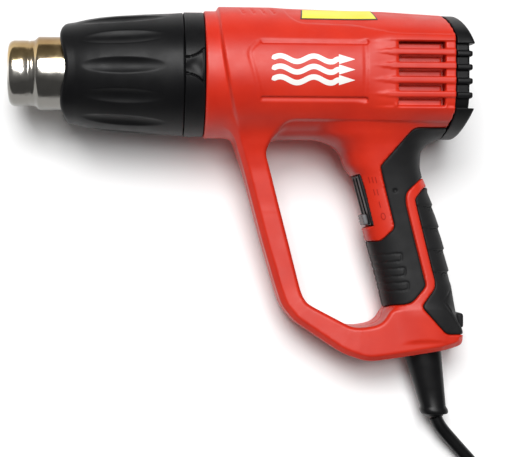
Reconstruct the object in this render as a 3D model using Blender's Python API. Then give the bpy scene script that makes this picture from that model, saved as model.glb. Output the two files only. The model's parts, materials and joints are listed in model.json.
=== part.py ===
"""Hot-air gun with a closed loop handle, lying on its right side on a bench.

Gun frame, in millimetres: +X runs along the barrel from the nozzle to the rear cap, +Y from the handle up
to the barrel, and +Z out of the left side. Its origin is on the barrel's axis at the housing's front face.
Every mesh is turned into metres as it is made. An empty carries the gun frame to its resting pose, with
the bench at Z = 0. The free cord is laid out on the bench itself, in bench millimetres.
"""
import math

import bmesh
import bpy
from mathutils import Euler
from mathutils import Matrix
from mathutils import Vector

MM = 0.001
GAP = 0.3
SLIVER = 0.004
SPLIT = 0.15

# Resting pose: tipped about X until the barrel's right side and the foot both touch the bench.
TILT = math.radians(7.61)
REST_SHIFT = (-19.1, 73.8, 37.94)

# Barrel: eight-sided with soft corners behind a round front ring.
RING_RADIUS = 34.6
BARREL_SIDE = 37.0
BARREL_DIAGONAL = 40.0
BARREL_SOFTNESS = 14.0
BARREL_REAR = 132.5
BARREL_WALL = 2.6
FRONT_WALL = 2.8
FRONT_HOLE_RADIUS = 24.5
BARREL_LINES = ((36, 37.0, 35.4), (45.7, 36.4, 35.4), (96.5, 35.2, 35.3), (132.5, 33.3, 34.8))
QUADRANT_ANGLES = (0, 22, 31, 45, 59, 68)
ROUND = 24

# Grip sections: height, front edge, rear edge, half width.
GRIP_SECTIONS = (
    (-24, 58, 131, 33), (-33, 62, 129.5, 30), (-38, 71, 121.8, 25), (-42.2, 74.9, 119.3, 23),
    (-50, 77.6, 118.8, 20), (-54.8, 81.5, 119.8, 18.8), (-61.6, 83.0, 123, 18),
    (-76, 86.0, 127.9, 17.5), (-88.5, 89.0, 131.3, 17.5), (-105.3, 93.7, 134.9, 17.7),
    (-124.8, 98.7, 138.2, 19), (-131, 100, 139.6, 19.3), (-148, 101, 139.8, 17.5),
)
GRIP_POWER = 2.6
GRIP_POINTS = 18
GRIP_WALL = 4.2
GRIP_CAVITY_FLOOR = -140

# Loop and foot sections: outer point, inner point, half thickness.
LOOP_SECTIONS = (
    ((12, -25), (42, -25), 26), ((15.9, -34.7), (35.1, -35.7), 20), ((18.2, -42), (32.5, -41.5), 15),
    ((21.3, -51.5), (35.2, -51), 12.6), ((31.3, -89.7), (45.2, -89.7), 12),
    ((39.3, -117.2), (52.4, -118.4), 12.5),
    ((42.2, -125.6), (54.8, -123.1), 13), ((48.8, -133.9), (57.5, -125.4), 13.6),
    ((74.4, -151.2), (78.6, -136.6), 16), ((85.1, -155), (82.2, -137.3), 17),
    ((89.9, -155.7), (86.9, -137.2), 17.5), ((96, -155.1), (93.7, -135.9), 17.8),
    ((104, -154), (97.4, -133.2), 18), ((108, -153.4), (101, -127), 18), ((131.6, -149.8), (132, -126), 18),
    ((139.5, -147.5), (139.5, -137), 17), ((141.4, -145), (140.8, -140), 15),
)
LOOP_CHAMFER = 3.3
LOOP_WALL = 3.2

# Soft pads on the grip, as outlines seen from the left side; they wrap round the grip's front and back.
PAD_DEPTH = 1.5
PAD_POCKET = 1.8
GRIP_PAD_OUTLINE = (
    (140, -29.5), (112, -29.8), (94.7, -50), (94.9, -51.7), (102.5, -82), (102.2, -84), (96.2, -90),
    (94.3, -90.8), (80, -90.8), (80, -125), (108.6, -124.8), (112.7, -123.4), (119.6, -115.1),
    (119.4, -113), (108.7, -70), (108.9, -64.2), (118, -56.2), (140, -52),
)
REAR_PAD_OUTLINE = (
    (119.9, -61.1), (114, -67.4), (114.4, -70), (125, -113), (124.7, -116.2), (117.8, -125.4),
    (118.1, -127), (130.2, -140.3), (132.2, -141.2), (147, -141.2), (150, -100), (130, -60.6),
)
BUMP_BOX = ((136, -138.5, -8), (142.9, -130, 8))

VENT_HEIGHTS = (13.3, 6.1, -1.3, -9.1, -16.5)
VENT_SPAN = (101.6, 126.7)
VENT_HEIGHT = 3.2

# Screws: where each one crosses the mid-plane. Their heads sit in the right half.
SCREWS = (
    (22, 32.5), (76, 32.2), (122, 29.3), (50, -31.2), (113, -50), (127, -100), (102, -146),
)
LOOP_SCREWS = ((38.3, -88), (66, -137.9))
BOSS_RADIUS = 4.4
LOOP_BOSS_RADIUS = 7.0
CLAMP_SCREWS = ((108.3, -125.5), (122.1, -125.5))
CLAMP_POST_RADIUS = 2.5
CLAMP_POST_TOP = -1.0
CLAMP_SCREW_RADIUS = 1.1
CLAMP_BAR = ((105.6, -128, 4.2), (124.8, -123, 6.6))
SCREW_RADIUS = 1.5
SCREW_HEAD_RADIUS = 2.6
SCREW_HEAD_HEIGHT = 2.2
SCREW_SEAT = -8.0
SCREW_TIP = 8.5

# Slide switch: the middle of its bezel's front face, and its lean back along the grip.
SWITCH_CENTRE = (87.1, -68.5, 0)
SWITCH_UP = (-0.264, 0.9645, 0)
SWITCH_OUT = (-0.9645, -0.264, 0)
SWITCH_TRAVEL = 20.5
BEZEL_SIZE = (28.4, 24.0, 2.0)
KNOB_SIZE = (6.0, 14.0, 2.8)
SWITCH_STEM = (4.0, 3.4, 7.0)
SWITCH_BODY = (30.0, 16.0, 14.0)
SWITCH_BODY_DEPTH = 3.9
SWITCH_SLOT = (25.2, 4.0)

# Rear cap and the ribs across its air inlet.
CAP_FRONT = 132.8
CAP_REAR = 142.5
RIB_HEIGHTS = (9.0, 1.8, -5.6, -13.1)
RIB_SIZE = 3.2
INLET_HEIGHTS = (12.7, 5.4, -1.9, -9.35, -16.8)
INLET_SIZE = 3.4

# Hot-air path.
NOZZLE_RIM = -104.7
NOZZLE_PROFILE = (
    (NOZZLE_RIM, 13.8), (NOZZLE_RIM, 14.6), (-103.6, 16.3), (-101, 17.7), (-91.3, 17.7), (-88.5, 19.8),
    (3.1, 19.8), (3.1, 28.5), (4.3, 28.5), (4.3, 19.0), (-88.2, 19.0), (-90.9, 16.9), (-100.8, 16.9),
    (-102.9, 15.8), (-103.8, 13.8),
)
COLLAR_PROFILE = (
    (-11, 30), (-11, 33.2), (-10.5, 33.7), (-0.8, 33.7), (-0.3, 33.3), (-0.3, 24.2), (2.6, 24.2),
    (2.6, 20.4), (-4.5, 20.4), (-4.5, 27.2), (-19.8, 27.2), (-19.8, 30),
)
GUARD_PROFILE = (
    (-73.6, 21), (-75.8, 21.6), (-76.7, 24), (-76.2, 26.6), (-72, 28.2), (-62, 30.2), (-47, 31.4),
    (-32, 32.2), (-17, 32.8), (-11.3, 33.4), (-11.3, 30.5), (-20.4, 30.5), (-21, 29.7),
    (-47, 28.8), (-62, 27.6), (-73.6, 25),
)
WIRE_TURNS = 7
WIRE_TURN_POINTS = 10
WIRE_COIL_RADIUS = 16.2
WIRE_SPAN = (-80.0, -9.0)

# Cord and its boot.
CORD_RADIUS = 3.5
BOOT_TOP = (118.5, -139.0)
BOOT_END = (128.0, -186.0)
BOOT_BORE = 3.85
BOOT_SECTIONS = (
    (-142.4, 13.0, 10.4), (-145.4, 13.0, 10.4), (-145.4, 10.4, 7.9), (-152, 10.6, 8.1), (-160, 9.6, 7.6),
    (-172, 8.2, 6.9), (-182.4, 7.0, 6.4), (-183.2, 7.7, 6.9), (-185.6, 7.6, 6.8), (-186, 7.2, 6.4),
)
COIL_CENTRE = (96.9, -199.6)
COIL_SECTION = (
    (31.3, 0.8), (52.7, 0.8), (52.7, 7.6), (49.2, 13.8), (45.8, 20.0), (38.2, 20.0), (34.8, 13.8),
    (31.3, 7.6),
)
TIE_GAP = 0.35
TIE_THICKNESS = 0.4
TIE_WIDTH = 5.0
CORD_ROUTE = (
    (109.4, -112.25, 13.0), (111.8, -116.8, 12.1), (114.9, -120.8, 11.0), (119.7, -126.0, 9.3),
    (124.5, -131.1, 7.5), (130, -137.0, 5.8), (136.8, -145.8, 4.5), (141.6, -155.3, 4.0), (144, -163, 4.0),
)
TAIL_ROUTE = (
    (89, -256.8, 3.9), (78, -256.8, 3.9), (66, -255.1, 4.4), (55, -252.6, 6.4), (46, -251.2, 8.2),
    (38.6, -250.8, 8.6),
)
PLUG_START = (38.2, -250.8, 8.6)
PLUG_SECTIONS = (
    (0, 5, 4.6), (12, 6, 5.2), (20, 9, 6.4), (28, 15.5, 8.2), (40, 17.5, 8.5), (43, 16.8, 8.2),
)
PIN_RADIUS = 2.4
PIN_LENGTH = 19.0
PIN_SPACING = 19.0

FINISHES = {
    "red_plastic": ((0.60, 0.035, 0.02), 0.42, 0.0),
    "black_plastic": ((0.012, 0.012, 0.013), 0.45, 0.0),
    "black_rubber": ((0.016, 0.016, 0.017), 0.7, 0.0),
    "bright_steel": ((0.62, 0.57, 0.47), 0.22, 1.0),
    "dark_steel": ((0.22, 0.22, 0.23), 0.4, 1.0),
    "copper": ((0.75, 0.33, 0.16), 0.35, 1.0),
    "bronze": ((0.5, 0.35, 0.15), 0.4, 1.0),
    "magnet": ((0.06, 0.06, 0.065), 0.6, 0.0),
    "mica": ((0.55, 0.47, 0.33), 0.5, 0.0),
    "board_green": ((0.02, 0.16, 0.06), 0.5, 0.0),
    "label_yellow": ((0.85, 0.72, 0.03), 0.5, 0.0),
    "white_plastic": ((0.75, 0.75, 0.72), 0.5, 0.0),
    "brown_wire": ((0.16, 0.06, 0.02), 0.5, 0.0),
    "blue_wire": ((0.02, 0.09, 0.4), 0.5, 0.0),
}


# ---------------------------------------------------------------- helpers

def finish(name):
    """Returns the named material, made on first use."""
    if name in bpy.data.materials:
        return bpy.data.materials[name]
    colour, roughness, metallic = FINISHES[name]
    made = bpy.data.materials.new(name)
    made.use_nodes = True
    shader = made.node_tree.nodes["Principled BSDF"]
    shader.inputs["Base Color"].default_value = (*colour, 1.0)
    shader.inputs["Roughness"].default_value = roughness
    shader.inputs["Metallic"].default_value = metallic
    return made


def work_solid(bm):
    """Turns a bmesh in millimetres into a working object in metres, with flat faces that all face out."""
    bmesh.ops.recalc_face_normals(bm, faces=bm.faces)
    bmesh.ops.connect_verts_nonplanar(bm, angle_limit=0.0005, faces=bm.faces)
    bmesh.ops.scale(bm, vec=(MM, MM, MM), verts=bm.verts)
    mesh = bpy.data.meshes.new("work")
    bm.to_mesh(mesh)
    bm.free()
    obj = bpy.data.objects.new("work", mesh)
    bpy.context.scene.collection.objects.link(obj)
    return obj


def node(obj, name, look, parent=None, location=(0, 0, 0), rotation=None):
    """Names a working object, gives it its finish and places it, in millimetres, under its parent."""
    obj.name = name
    obj.data.name = name
    obj.data.materials.clear()
    obj.data.materials.append(finish(look))
    if obj.type == "MESH":
        obj.data.shade_smooth()
        obj.data.set_sharp_from_angle(angle=math.radians(32))
    obj.parent = parent
    obj.location = Vector(location) * MM
    if rotation is not None:
        obj.rotation_euler = rotation
    return obj


def copy_of(obj):
    """Returns a second working object with its own copy of the mesh."""
    double = obj.copy()
    double.data = obj.data.copy()
    bpy.context.scene.collection.objects.link(double)
    return double


def boolean(target, operation, *tools):
    """Applies a Boolean of each tool to the target and removes the tools."""
    for tool in tools:
        step = target.modifiers.new(operation, "BOOLEAN")
        step.operation = operation
        step.object = tool
    graph = bpy.context.evaluated_depsgraph_get()
    graph.update()
    result = bpy.data.meshes.new_from_object(target.evaluated_get(graph))
    target.modifiers.clear()
    target.data = result
    for tool in tools:
        bpy.data.objects.remove(tool)
    return target


def cleaned(obj):
    """Merges the slivers that Booleans leave, closes any pinhole and joins faces that lie flat together."""
    bm = bmesh.new()
    bm.from_mesh(obj.data)
    bmesh.ops.remove_doubles(bm, verts=bm.verts, dist=SLIVER * MM)
    bmesh.ops.dissolve_degenerate(bm, edges=bm.edges, dist=SLIVER * MM)
    bmesh.ops.holes_fill(bm, edges=bm.edges, sides=4)
    bmesh.ops.dissolve_limit(bm, angle_limit=math.radians(0.4), verts=bm.verts, edges=bm.edges)
    bmesh.ops.triangulate(bm, faces=bm.faces)
    bmesh.ops.delete(bm, geom=[edge for edge in bm.edges if not edge.link_faces], context="EDGES")
    bm.to_mesh(obj.data)
    bm.free()
    return obj


def add_loft(bm, rings):
    """Adds a closed skin through rings of equal point count, with a flat cap at either end."""
    loops = [[bm.verts.new(point) for point in ring] for ring in rings]
    for near, far in zip(loops, loops[1:]):
        for i in range(len(near)):
            j = (i + 1) % len(near)
            bm.faces.new((near[i], near[j], far[j], far[i]))
    bm.faces.new(loops[0][::-1])
    bm.faces.new(loops[-1])


def loft(rings):
    bm = bmesh.new()
    add_loft(bm, rings)
    return work_solid(bm)


def box(low, high):
    return boxes([(low, high)])


def boxes(corner_pairs):
    """One working object holding a box for each pair of opposite corners."""
    bm = bmesh.new()
    for low, high in corner_pairs:
        rings = []
        for z in (low[2], high[2]):
            corners = (low[0], low[1]), (high[0], low[1]), (high[0], high[1]), (low[0], high[1])
            rings.append([(x, y, z) for x, y in corners])
        add_loft(bm, rings)
    return work_solid(bm)


def prism(outline, low_z, high_z):
    return loft([[(x, y, low_z) for x, y in outline], [(x, y, high_z) for x, y in outline]])


def circle(radius, count=ROUND):
    return [(radius * math.cos(2 * math.pi * i / count), radius * math.sin(2 * math.pi * i / count))
            for i in range(count)]


def pins(centres, *stations, count=8):
    """One working object holding a stepped cylinder along Z at each centre, from (z, radius) stations."""
    bm = bmesh.new()
    for x, y in centres:
        add_loft(bm, [[(x + dx, y + dy, z) for dx, dy in circle(radius, count)] for z, radius in stations])
    return work_solid(bm)


def turned(profile, count=ROUND, closed=True):
    """Turns a profile of (x, radius) points about the X axis: a closed loop, or a rod capped at its ends."""
    bm = bmesh.new()
    loops = [[bm.verts.new((x, dy, dz)) for dy, dz in circle(radius, count)] for x, radius in profile]
    pairs = list(zip(loops, loops[1:]))
    if closed:
        pairs.append((loops[-1], loops[0]))
    else:
        bm.faces.new(loops[0][::-1])
        bm.faces.new(loops[-1])
    for near, far in pairs:
        for i in range(count):
            j = (i + 1) % count
            bm.faces.new((near[i], near[j], far[j], far[i]))
    return work_solid(bm)


def sleeve(low_x, high_x, outer, inner, count=ROUND):
    return turned(((low_x, outer), (high_x, outer), (high_x, inner), (low_x, inner)), count)


def rod(low_x, high_x, radius, count=ROUND):
    return turned(((low_x, radius), (high_x, radius)), count, closed=False)


def along_x(outline, low_x, high_x):
    """Extrudes an outline of (y, z) points along X."""
    return loft([[(low_x, y, z) for y, z in outline], [(high_x, y, z) for y, z in outline]])


def spokes(count, reach, half_width, phase=0.0):
    """Outline of a hub-less star of straight arms, as (y, z) points."""
    inner = half_width / math.sin(math.pi / count)
    points = []
    for k in range(count):
        angle = phase + 2 * math.pi * k / count
        along = Vector((math.cos(angle), math.sin(angle)))
        across = Vector((-along.y, along.x)) * half_width
        corner = angle + math.pi / count
        points.append(tuple(along * reach - across))
        points.append(tuple(along * reach + across))
        points.append((inner * math.cos(corner), inner * math.sin(corner)))
    return points


def grow(outline, amount):
    """Moves each side of an outline outward by the amount, keeping its corners mitred."""
    count = len(outline)
    area = sum(outline[i][0] * outline[(i + 1) % count][1] - outline[(i + 1) % count][0] * outline[i][1]
               for i in range(count))
    sign = 1 if area > 0 else -1
    grown = []
    for i in range(count):
        here = Vector(outline[i])
        before = (here - Vector(outline[i - 1])).normalized()
        after = (Vector(outline[(i + 1) % count]) - here).normalized()
        out_before = Vector((before.y, -before.x)) * sign
        out_after = Vector((after.y, -after.x)) * sign
        mitre = (out_before + out_after) / (1 + out_before.dot(out_after))
        grown.append(tuple(here + mitre * amount))
    return grown


def smooth_route(points, step):
    """Points a step apart along a Catmull-Rom curve through the route's own points."""
    knots = [Vector(p) for p in points]
    knots = [2 * knots[0] - knots[1]] + knots + [2 * knots[-1] - knots[-2]]
    fine = []
    for a, b, c, d in zip(knots, knots[1:], knots[2:], knots[3:]):
        for i in range(20):
            t = i / 20
            fine.append(0.5 * (2 * b + (c - a) * t + (2 * a - 5 * b + 4 * c - d) * t ** 2
                               + (3 * b - a - 3 * c + d) * t ** 3))
    fine.append(knots[-2])
    length = sum((q - p).length for p, q in zip(fine, fine[1:]))
    spacing = length / max(2, round(length / step))
    even = [fine[0]]
    walked = 0.0
    for p, q in zip(fine, fine[1:]):
        walked += (q - p).length
        if walked >= spacing * len(even) - 1e-6:
            even.append(q)
    even[-1] = fine[-1]
    return even


def tube(points, radius, resolution=2):
    """A POLY curve with a round bevel and filled ends, through points in millimetres."""
    data = bpy.data.curves.new("work", "CURVE")
    data.dimensions = "3D"
    data.bevel_depth = radius * MM
    data.bevel_resolution = resolution
    data.use_fill_caps = True
    line = data.splines.new("POLY")
    line.points.add(len(points) - 1)
    for vertex, point in zip(line.points, points):
        vertex.co = (*(Vector(point) * MM), 1)
    obj = bpy.data.objects.new("work", data)
    bpy.context.scene.collection.objects.link(obj)
    return obj


# ---------------------------------------------------------------- outer shapes

def section_angles():
    """Angles round the barrel, closer together at its eight soft corners."""
    mirrored = [0] + [90 - angle for angle in QUADRANT_ANGLES[:0:-1]]
    return [math.radians(90 * quadrant + angle) for quadrant in range(4)
            for angle in (QUADRANT_ANGLES if quadrant % 2 == 0 else mirrored)]


def barrel_ring(x, top, bottom, inset):
    """One section of the barrel, as a soft-cornered octagon pulled in by the inset."""
    ring = []
    for angle in section_angles():
        z = math.cos(angle)
        y = math.sin(angle)
        height = top if y > 0 else bottom
        sides = (abs(y) / height, abs(z) / BARREL_SIDE, abs(y + z) / math.sqrt(2) / BARREL_DIAGONAL,
                 abs(y - z) / math.sqrt(2) / BARREL_DIAGONAL)
        radius = sum(side ** BARREL_SOFTNESS for side in sides) ** (-1 / BARREL_SOFTNESS) - inset
        ring.append((x, radius * y, radius * z))
    return ring


def round_ring(x, radius):
    return [(x, radius * math.sin(angle), radius * math.cos(angle)) for angle in section_angles()]


def slanted(ring, offset):
    """Leans a ring back towards the bottom, as the ridge behind the front ring does."""
    return [(x + offset + 0.0023 * (37 - y) ** 2, y, z) for x, y, z in ring]


def barrel(inset=0.0, front=0.0, rear=BARREL_REAR):
    """The barrel: round front ring, slanted ridge, then the eight-sided body."""
    top, bottom = BARREL_LINES[0][1:]
    ring_radius = RING_RADIUS - inset
    rings = [round_ring(front, ring_radius - 0.6), round_ring(front + 0.7, ring_radius)]
    rings.append(slanted(round_ring(0, ring_radius), 6.9))
    rings.append(slanted(barrel_ring(0, top, bottom, inset), 7.5))
    rings += [barrel_ring(x, high, low, inset) for x, high, low in BARREL_LINES[:-1]]
    rings.append(barrel_ring(rear, *BARREL_LINES[-1][1:], inset))
    return loft(rings)


def grip(inset=0.0, floor=None):
    """The grip: level superellipse sections from inside the barrel down into the foot."""
    rings = []
    for height, front, rear, half in GRIP_SECTIONS:
        if floor is not None and height < floor:
            height = floor
        middle = (front + rear) / 2
        reach = (rear - front) / 2 - inset
        ring = []
        for i in range(GRIP_POINTS):
            angle = 2 * math.pi * (i + 0.5) / GRIP_POINTS
            cos, sin = math.cos(angle), math.sin(angle)
            ring.append((middle + reach * math.copysign(abs(cos) ** (2 / GRIP_POWER), cos), height,
                         (half - inset) * math.copysign(abs(sin) ** (2 / GRIP_POWER), sin)))
        rings.append(ring)
    return loft(rings)


def loop(inset=0.0, chamfer=LOOP_CHAMFER):
    """The loop and the foot: chamfered box sections strung along the handle's lower outline."""
    rings = []
    sections = LOOP_SECTIONS if inset <= PAD_POCKET else LOOP_SECTIONS[:-1]
    for outer, inner, half in sections:
        across = (Vector(inner) - Vector(outer)).normalized()
        start = Vector(outer) + across * inset
        end = Vector(inner) - across * inset
        deep = half - inset
        cut = min(chamfer, 0.4 * (end - start).length)
        corners = ((start, deep - cut), (start + across * cut, deep),
                   (end - across * cut / 2, deep), (end, deep - cut / 2))
        ring = [(p.x, p.y, z) for p, z in corners]
        ring += [(p.x, p.y, -z) for p, z in reversed(corners)]
        rings.append(ring)
    return loft(rings)


def whole_body(inset=0.0, rear=BARREL_REAR):
    return boolean(barrel(inset, rear=rear), "UNION", grip(inset), loop(inset))


def boot_centre(height):
    """Where the boot's axis crosses a height."""
    share = (height - BOOT_TOP[1]) / (BOOT_END[1] - BOOT_TOP[1])
    return BOOT_TOP[0] + share * (BOOT_END[0] - BOOT_TOP[0])


def boot_ring(height, half_x, half_z, count=16):
    return [(boot_centre(height) + half_x * dx, height, half_z * dz) for dx, dz in circle(1, count)]


def switch_box(size, top_out, shift_up=0.0):
    """A box in the switch's own directions: length along it, width along Z, from top_out inward."""
    up, out, side = Vector(SWITCH_UP), Vector(SWITCH_OUT), Vector((0, 0, 1))
    length, width, depth = size
    rings = []
    for out_place in (top_out - depth, top_out):
        ring = []
        for a, b in ((-1, -1), (1, -1), (1, 1), (-1, 1)):
            point = Vector(SWITCH_CENTRE) + up * (a * length / 2 + shift_up) + side * (b * width / 2)
            ring.append(point + out * out_place)
        rings.append(ring)
    return loft(rings)


# ---------------------------------------------------------------- casing

def cavity():
    """The hollow inside both halves, less the columns that carry the screws."""
    hollow = boolean(barrel(BARREL_WALL, front=FRONT_WALL, rear=BARREL_REAR + 5), "UNION",
                     grip(GRIP_WALL, GRIP_CAVITY_FLOOR), loop(LOOP_WALL, LOOP_CHAMFER * 0.6))
    posts = pins(CLAMP_SCREWS, (-30, CLAMP_POST_RADIUS), (CLAMP_POST_TOP, CLAMP_POST_RADIUS))
    return boolean(hollow, "DIFFERENCE", pins(SCREWS, (-50, BOSS_RADIUS), (50, BOSS_RADIUS)),
                   pins(LOOP_SCREWS, (-50, LOOP_BOSS_RADIUS), (50, LOOP_BOSS_RADIUS)), posts)


def pad_pocket(outline):
    """The shallow pocket that a pad sits in, on both sides at once."""
    pocket = prism(grow(outline, GAP), -50, 50)
    return boolean(pocket, "DIFFERENCE", whole_body(PAD_POCKET, rear=BARREL_REAR + 4))


def vent_cutters():
    pairs = []
    for height in VENT_HEIGHTS:
        for low_z, high_z in ((-45, -30), (30, 45)):
            pairs.append(((VENT_SPAN[0], height - VENT_HEIGHT / 2, low_z),
                          (VENT_SPAN[1], height + VENT_HEIGHT / 2, high_z)))
    return boxes(pairs)


def half_space(side):
    """Everything on one side of the mid-plane, less half of the gap between the two halves."""
    if side > 0:
        return box((-20, -200, SPLIT), (160, 60, 60))
    return box((-20, -200, -60), (160, 60, -SPLIT))


def casing_half(side):
    """One half of the hollow casing, with all its openings."""
    shell = boolean(whole_body(), "INTERSECT", half_space(side))
    pocket = tuple(side + 2 * GAP for side in BEZEL_SIZE[:2])
    boot_hole = loft([boot_ring(height, 10.9, 8.4) for height in (-146, -160)])
    head, shank, clamp = SCREW_HEAD_RADIUS + GAP, SCREW_RADIUS + GAP, CLAMP_SCREW_RADIUS + GAP
    boolean(shell, "DIFFERENCE", cavity(), vent_cutters(),
            pad_pocket(GRIP_PAD_OUTLINE), pad_pocket(REAR_PAD_OUTLINE),
            rod(-5, 10, FRONT_HOLE_RADIUS), boot_hole,
            switch_box((*pocket, BEZEL_SIZE[2] + GAP + 15), 15),
            switch_box((SWITCH_BODY[0] + 0.8, SWITCH_BODY[1] + 0.8, 5), -2),
            pins(SCREWS + LOOP_SCREWS, (-50, head), (SCREW_SEAT, head),
                 (SCREW_SEAT, shank), (SCREW_TIP + 1, shank)),
            pins(CLAMP_SCREWS, (CLAMP_POST_TOP - 4, clamp), (10, clamp)))
    return shell


def pad_half(side, outline, *extras):
    """The soft skin over a pocket, on one side of the mid-plane."""
    skin = whole_body()
    if extras:
        boolean(skin, "UNION", *extras)
    low_z, high_z = (SPLIT, 50) if side > 0 else (-50, -SPLIT)
    boolean(skin, "INTERSECT", prism(outline, low_z, high_z))
    return boolean(skin, "DIFFERENCE", whole_body(PAD_DEPTH, rear=BARREL_REAR + 4))


def rear_cap():
    """The black cap: a cup whose back is an air inlet, with four ribs down either side."""
    top, bottom = BARREL_LINES[-1][1:]
    cap = loft([barrel_ring(x, top, bottom, inset) for x, inset in
                ((CAP_FRONT, 0.0), (139.5, 0.4), (141.8, 1.4), (CAP_REAR, 2.6))])
    spigot = loft([barrel_ring(x, top, bottom, BARREL_WALL + 0.4) for x in (127.6, 136)])
    boolean(cap, "UNION", spigot)
    hollow = loft([barrel_ring(x, top, bottom, BARREL_WALL + 2.4) for x in (120, 139.9)])
    low_y, high_y = -19.5, 14.0
    recesses = boxes([((CAP_FRONT + 1, low_y, z), (150, high_y, z + 10)) for z in (-44.4, 34.4)])
    slots = boxes([((138, y - INLET_SIZE / 2, -27), (150, y + INLET_SIZE / 2, 27)) for y in INLET_HEIGHTS])
    boolean(cap, "DIFFERENCE", hollow, recesses, slots)
    ribs = boxes([((CAP_FRONT + 0.6, y - RIB_SIZE / 2, z), (CAP_REAR, y + RIB_SIZE / 2, z + 2.5))
                  for y in RIB_HEIGHTS for z in (-36, 33.5)])
    return boolean(cap, "UNION", ribs)


def label():
    """Thin instruction label on the barrel's upper left facet."""
    patch = boolean(prism(((51, 28.2), (92.5, 27.8), (91.6, 34.4), (52, 34.9)), 8, 45), "INTERSECT",
                    barrel(-0.6))
    return boolean(patch, "DIFFERENCE", barrel(-0.3))


def build_casing(gun):
    for side, word in ((1, "left"), (-1, "right")):
        node(cleaned(casing_half(side)), f"housing_{word}", "red_plastic", gun)
        node(cleaned(pad_half(side, GRIP_PAD_OUTLINE)), f"grip_pad_{word}", "black_rubber", gun)
        rear_pad = pad_half(side, REAR_PAD_OUTLINE, box(*BUMP_BOX))
        node(cleaned(rear_pad), f"rear_pad_{word}", "black_rubber", gun)
    node(cleaned(rear_cap()), "rear_cap", "black_plastic", gun)
    node(turned(COLLAR_PROFILE), "front_collar", "black_plastic", gun)
    node(label(), "top_label", "label_yellow", gun)


def screw_solid(radius, head_radius, head_height, length):
    """A screw along +Z with its seat at the origin and its head below it."""
    bm = bmesh.new()
    stations = ((-head_height, head_radius * 0.8), (-head_height * 0.6, head_radius), (0, head_radius),
                (0, radius), (length - 1.5, radius), (length, radius * 0.3))
    add_loft(bm, [[(x, y, z) for x, y in circle(r, 12)] for z, r in stations])
    return work_solid(bm)


def build_screws(gun):
    first = screw_solid(SCREW_RADIUS, SCREW_HEAD_RADIUS, SCREW_HEAD_HEIGHT, SCREW_TIP - SCREW_SEAT)
    for number, (x, y) in enumerate(SCREWS + LOOP_SCREWS, start=1):
        screw = copy_of(first)
        node(screw, f"screw_{number}", "dark_steel", gun, (x, y, SCREW_SEAT - GAP))
    bpy.data.objects.remove(first)


# ---------------------------------------------------------------- hot-air path and motor

def build_heater(gun):
    node(turned(NOZZLE_PROFILE), "nozzle", "bright_steel", gun)
    node(sleeve(-84, 2, 18.6, 17.9), "mica_tube", "mica", gun)
    node(along_x(spokes(4, 14.4, 0.6), -82, -6), "heater_core", "mica", gun)
    turns = []
    steps = WIRE_TURNS * WIRE_TURN_POINTS
    for i in range(steps + 1):
        angle = 2 * math.pi * i / WIRE_TURN_POINTS
        x = WIRE_SPAN[0] + (WIRE_SPAN[1] - WIRE_SPAN[0]) * i / steps
        turns.append((x, WIRE_COIL_RADIUS * math.cos(angle), WIRE_COIL_RADIUS * math.sin(angle)))
    node(tube(turns, 0.7, resolution=1), "heating_wire", "dark_steel", gun)
    node(along_x(spokes(4, 17.4, 1.6, math.pi / 4), -4.6, -1.6), "heater_base", "mica", gun)
    node(rod(-1.2, 4.4, 4, 16), "thermal_cutout", "white_plastic", gun)


def fan():
    """Axial fan: a hub with seven flat blades, pitched and set on the motor's shaft."""
    wheel = rod(12, 26, 8, 21)
    for k in range(7):
        blade = boxes([((-6.5, 7, -0.6), (6.5, 24.4, 0.6))])
        turn = Matrix.Rotation(2 * math.pi * k / 7, 4, "X") @ Matrix.Rotation(math.radians(32), 4, "Y")
        blade.data.transform(Matrix.Translation((19 * MM, 0, 0)) @ turn)
        boolean(wheel, "UNION", blade)
    return boolean(wheel, "DIFFERENCE", rod(5, 30, 1.85, 16))


def build_motor(gun):
    duct = sleeve(11, 34, 27.4, 25.6)
    boolean(duct, "UNION", boolean(along_x(spokes(3, 26.2, 2.5), 31, 33.5), "UNION", rod(31, 33.5, 9)))
    boolean(duct, "DIFFERENCE", rod(25, 40, 3.2, 16))
    node(duct, "fan_duct", "black_plastic", gun)
    can_profile = ((34, 3.2), (34, 16), (84, 16), (84, 14.8), (35.2, 14.8), (35.2, 3.2))
    node(turned(can_profile), "motor_can", "bright_steel", gun)
    cap_profile = ((84.3, 3.2), (84.3, 16), (89, 16), (90, 15), (90, 3.2))
    node(turned(cap_profile), "motor_end_cap", "black_plastic", gun)
    node(sleeve(40, 78, 14.5, 13.0), "magnet_ring", "magnet", gun)
    node(sleeve(34.3, 38, 2.9, 1.85, 16), "bush_front", "bronze", gun)
    node(sleeve(85, 89, 2.9, 1.85, 16), "bush_rear", "bronze", gun)
    node(rod(91.8, 93.4, 14), "rectifier_board", "board_green", gun)
    node(rod(10, 90.6, SCREW_RADIUS, 16), "motor_shaft", "bright_steel", gun)
    node(sleeve(42, 76, 12.5, 1.85), "armature", "copper", gun)
    node(fan(), "fan_wheel", "black_plastic", gun)


# ---------------------------------------------------------------- switch and wiring

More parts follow.
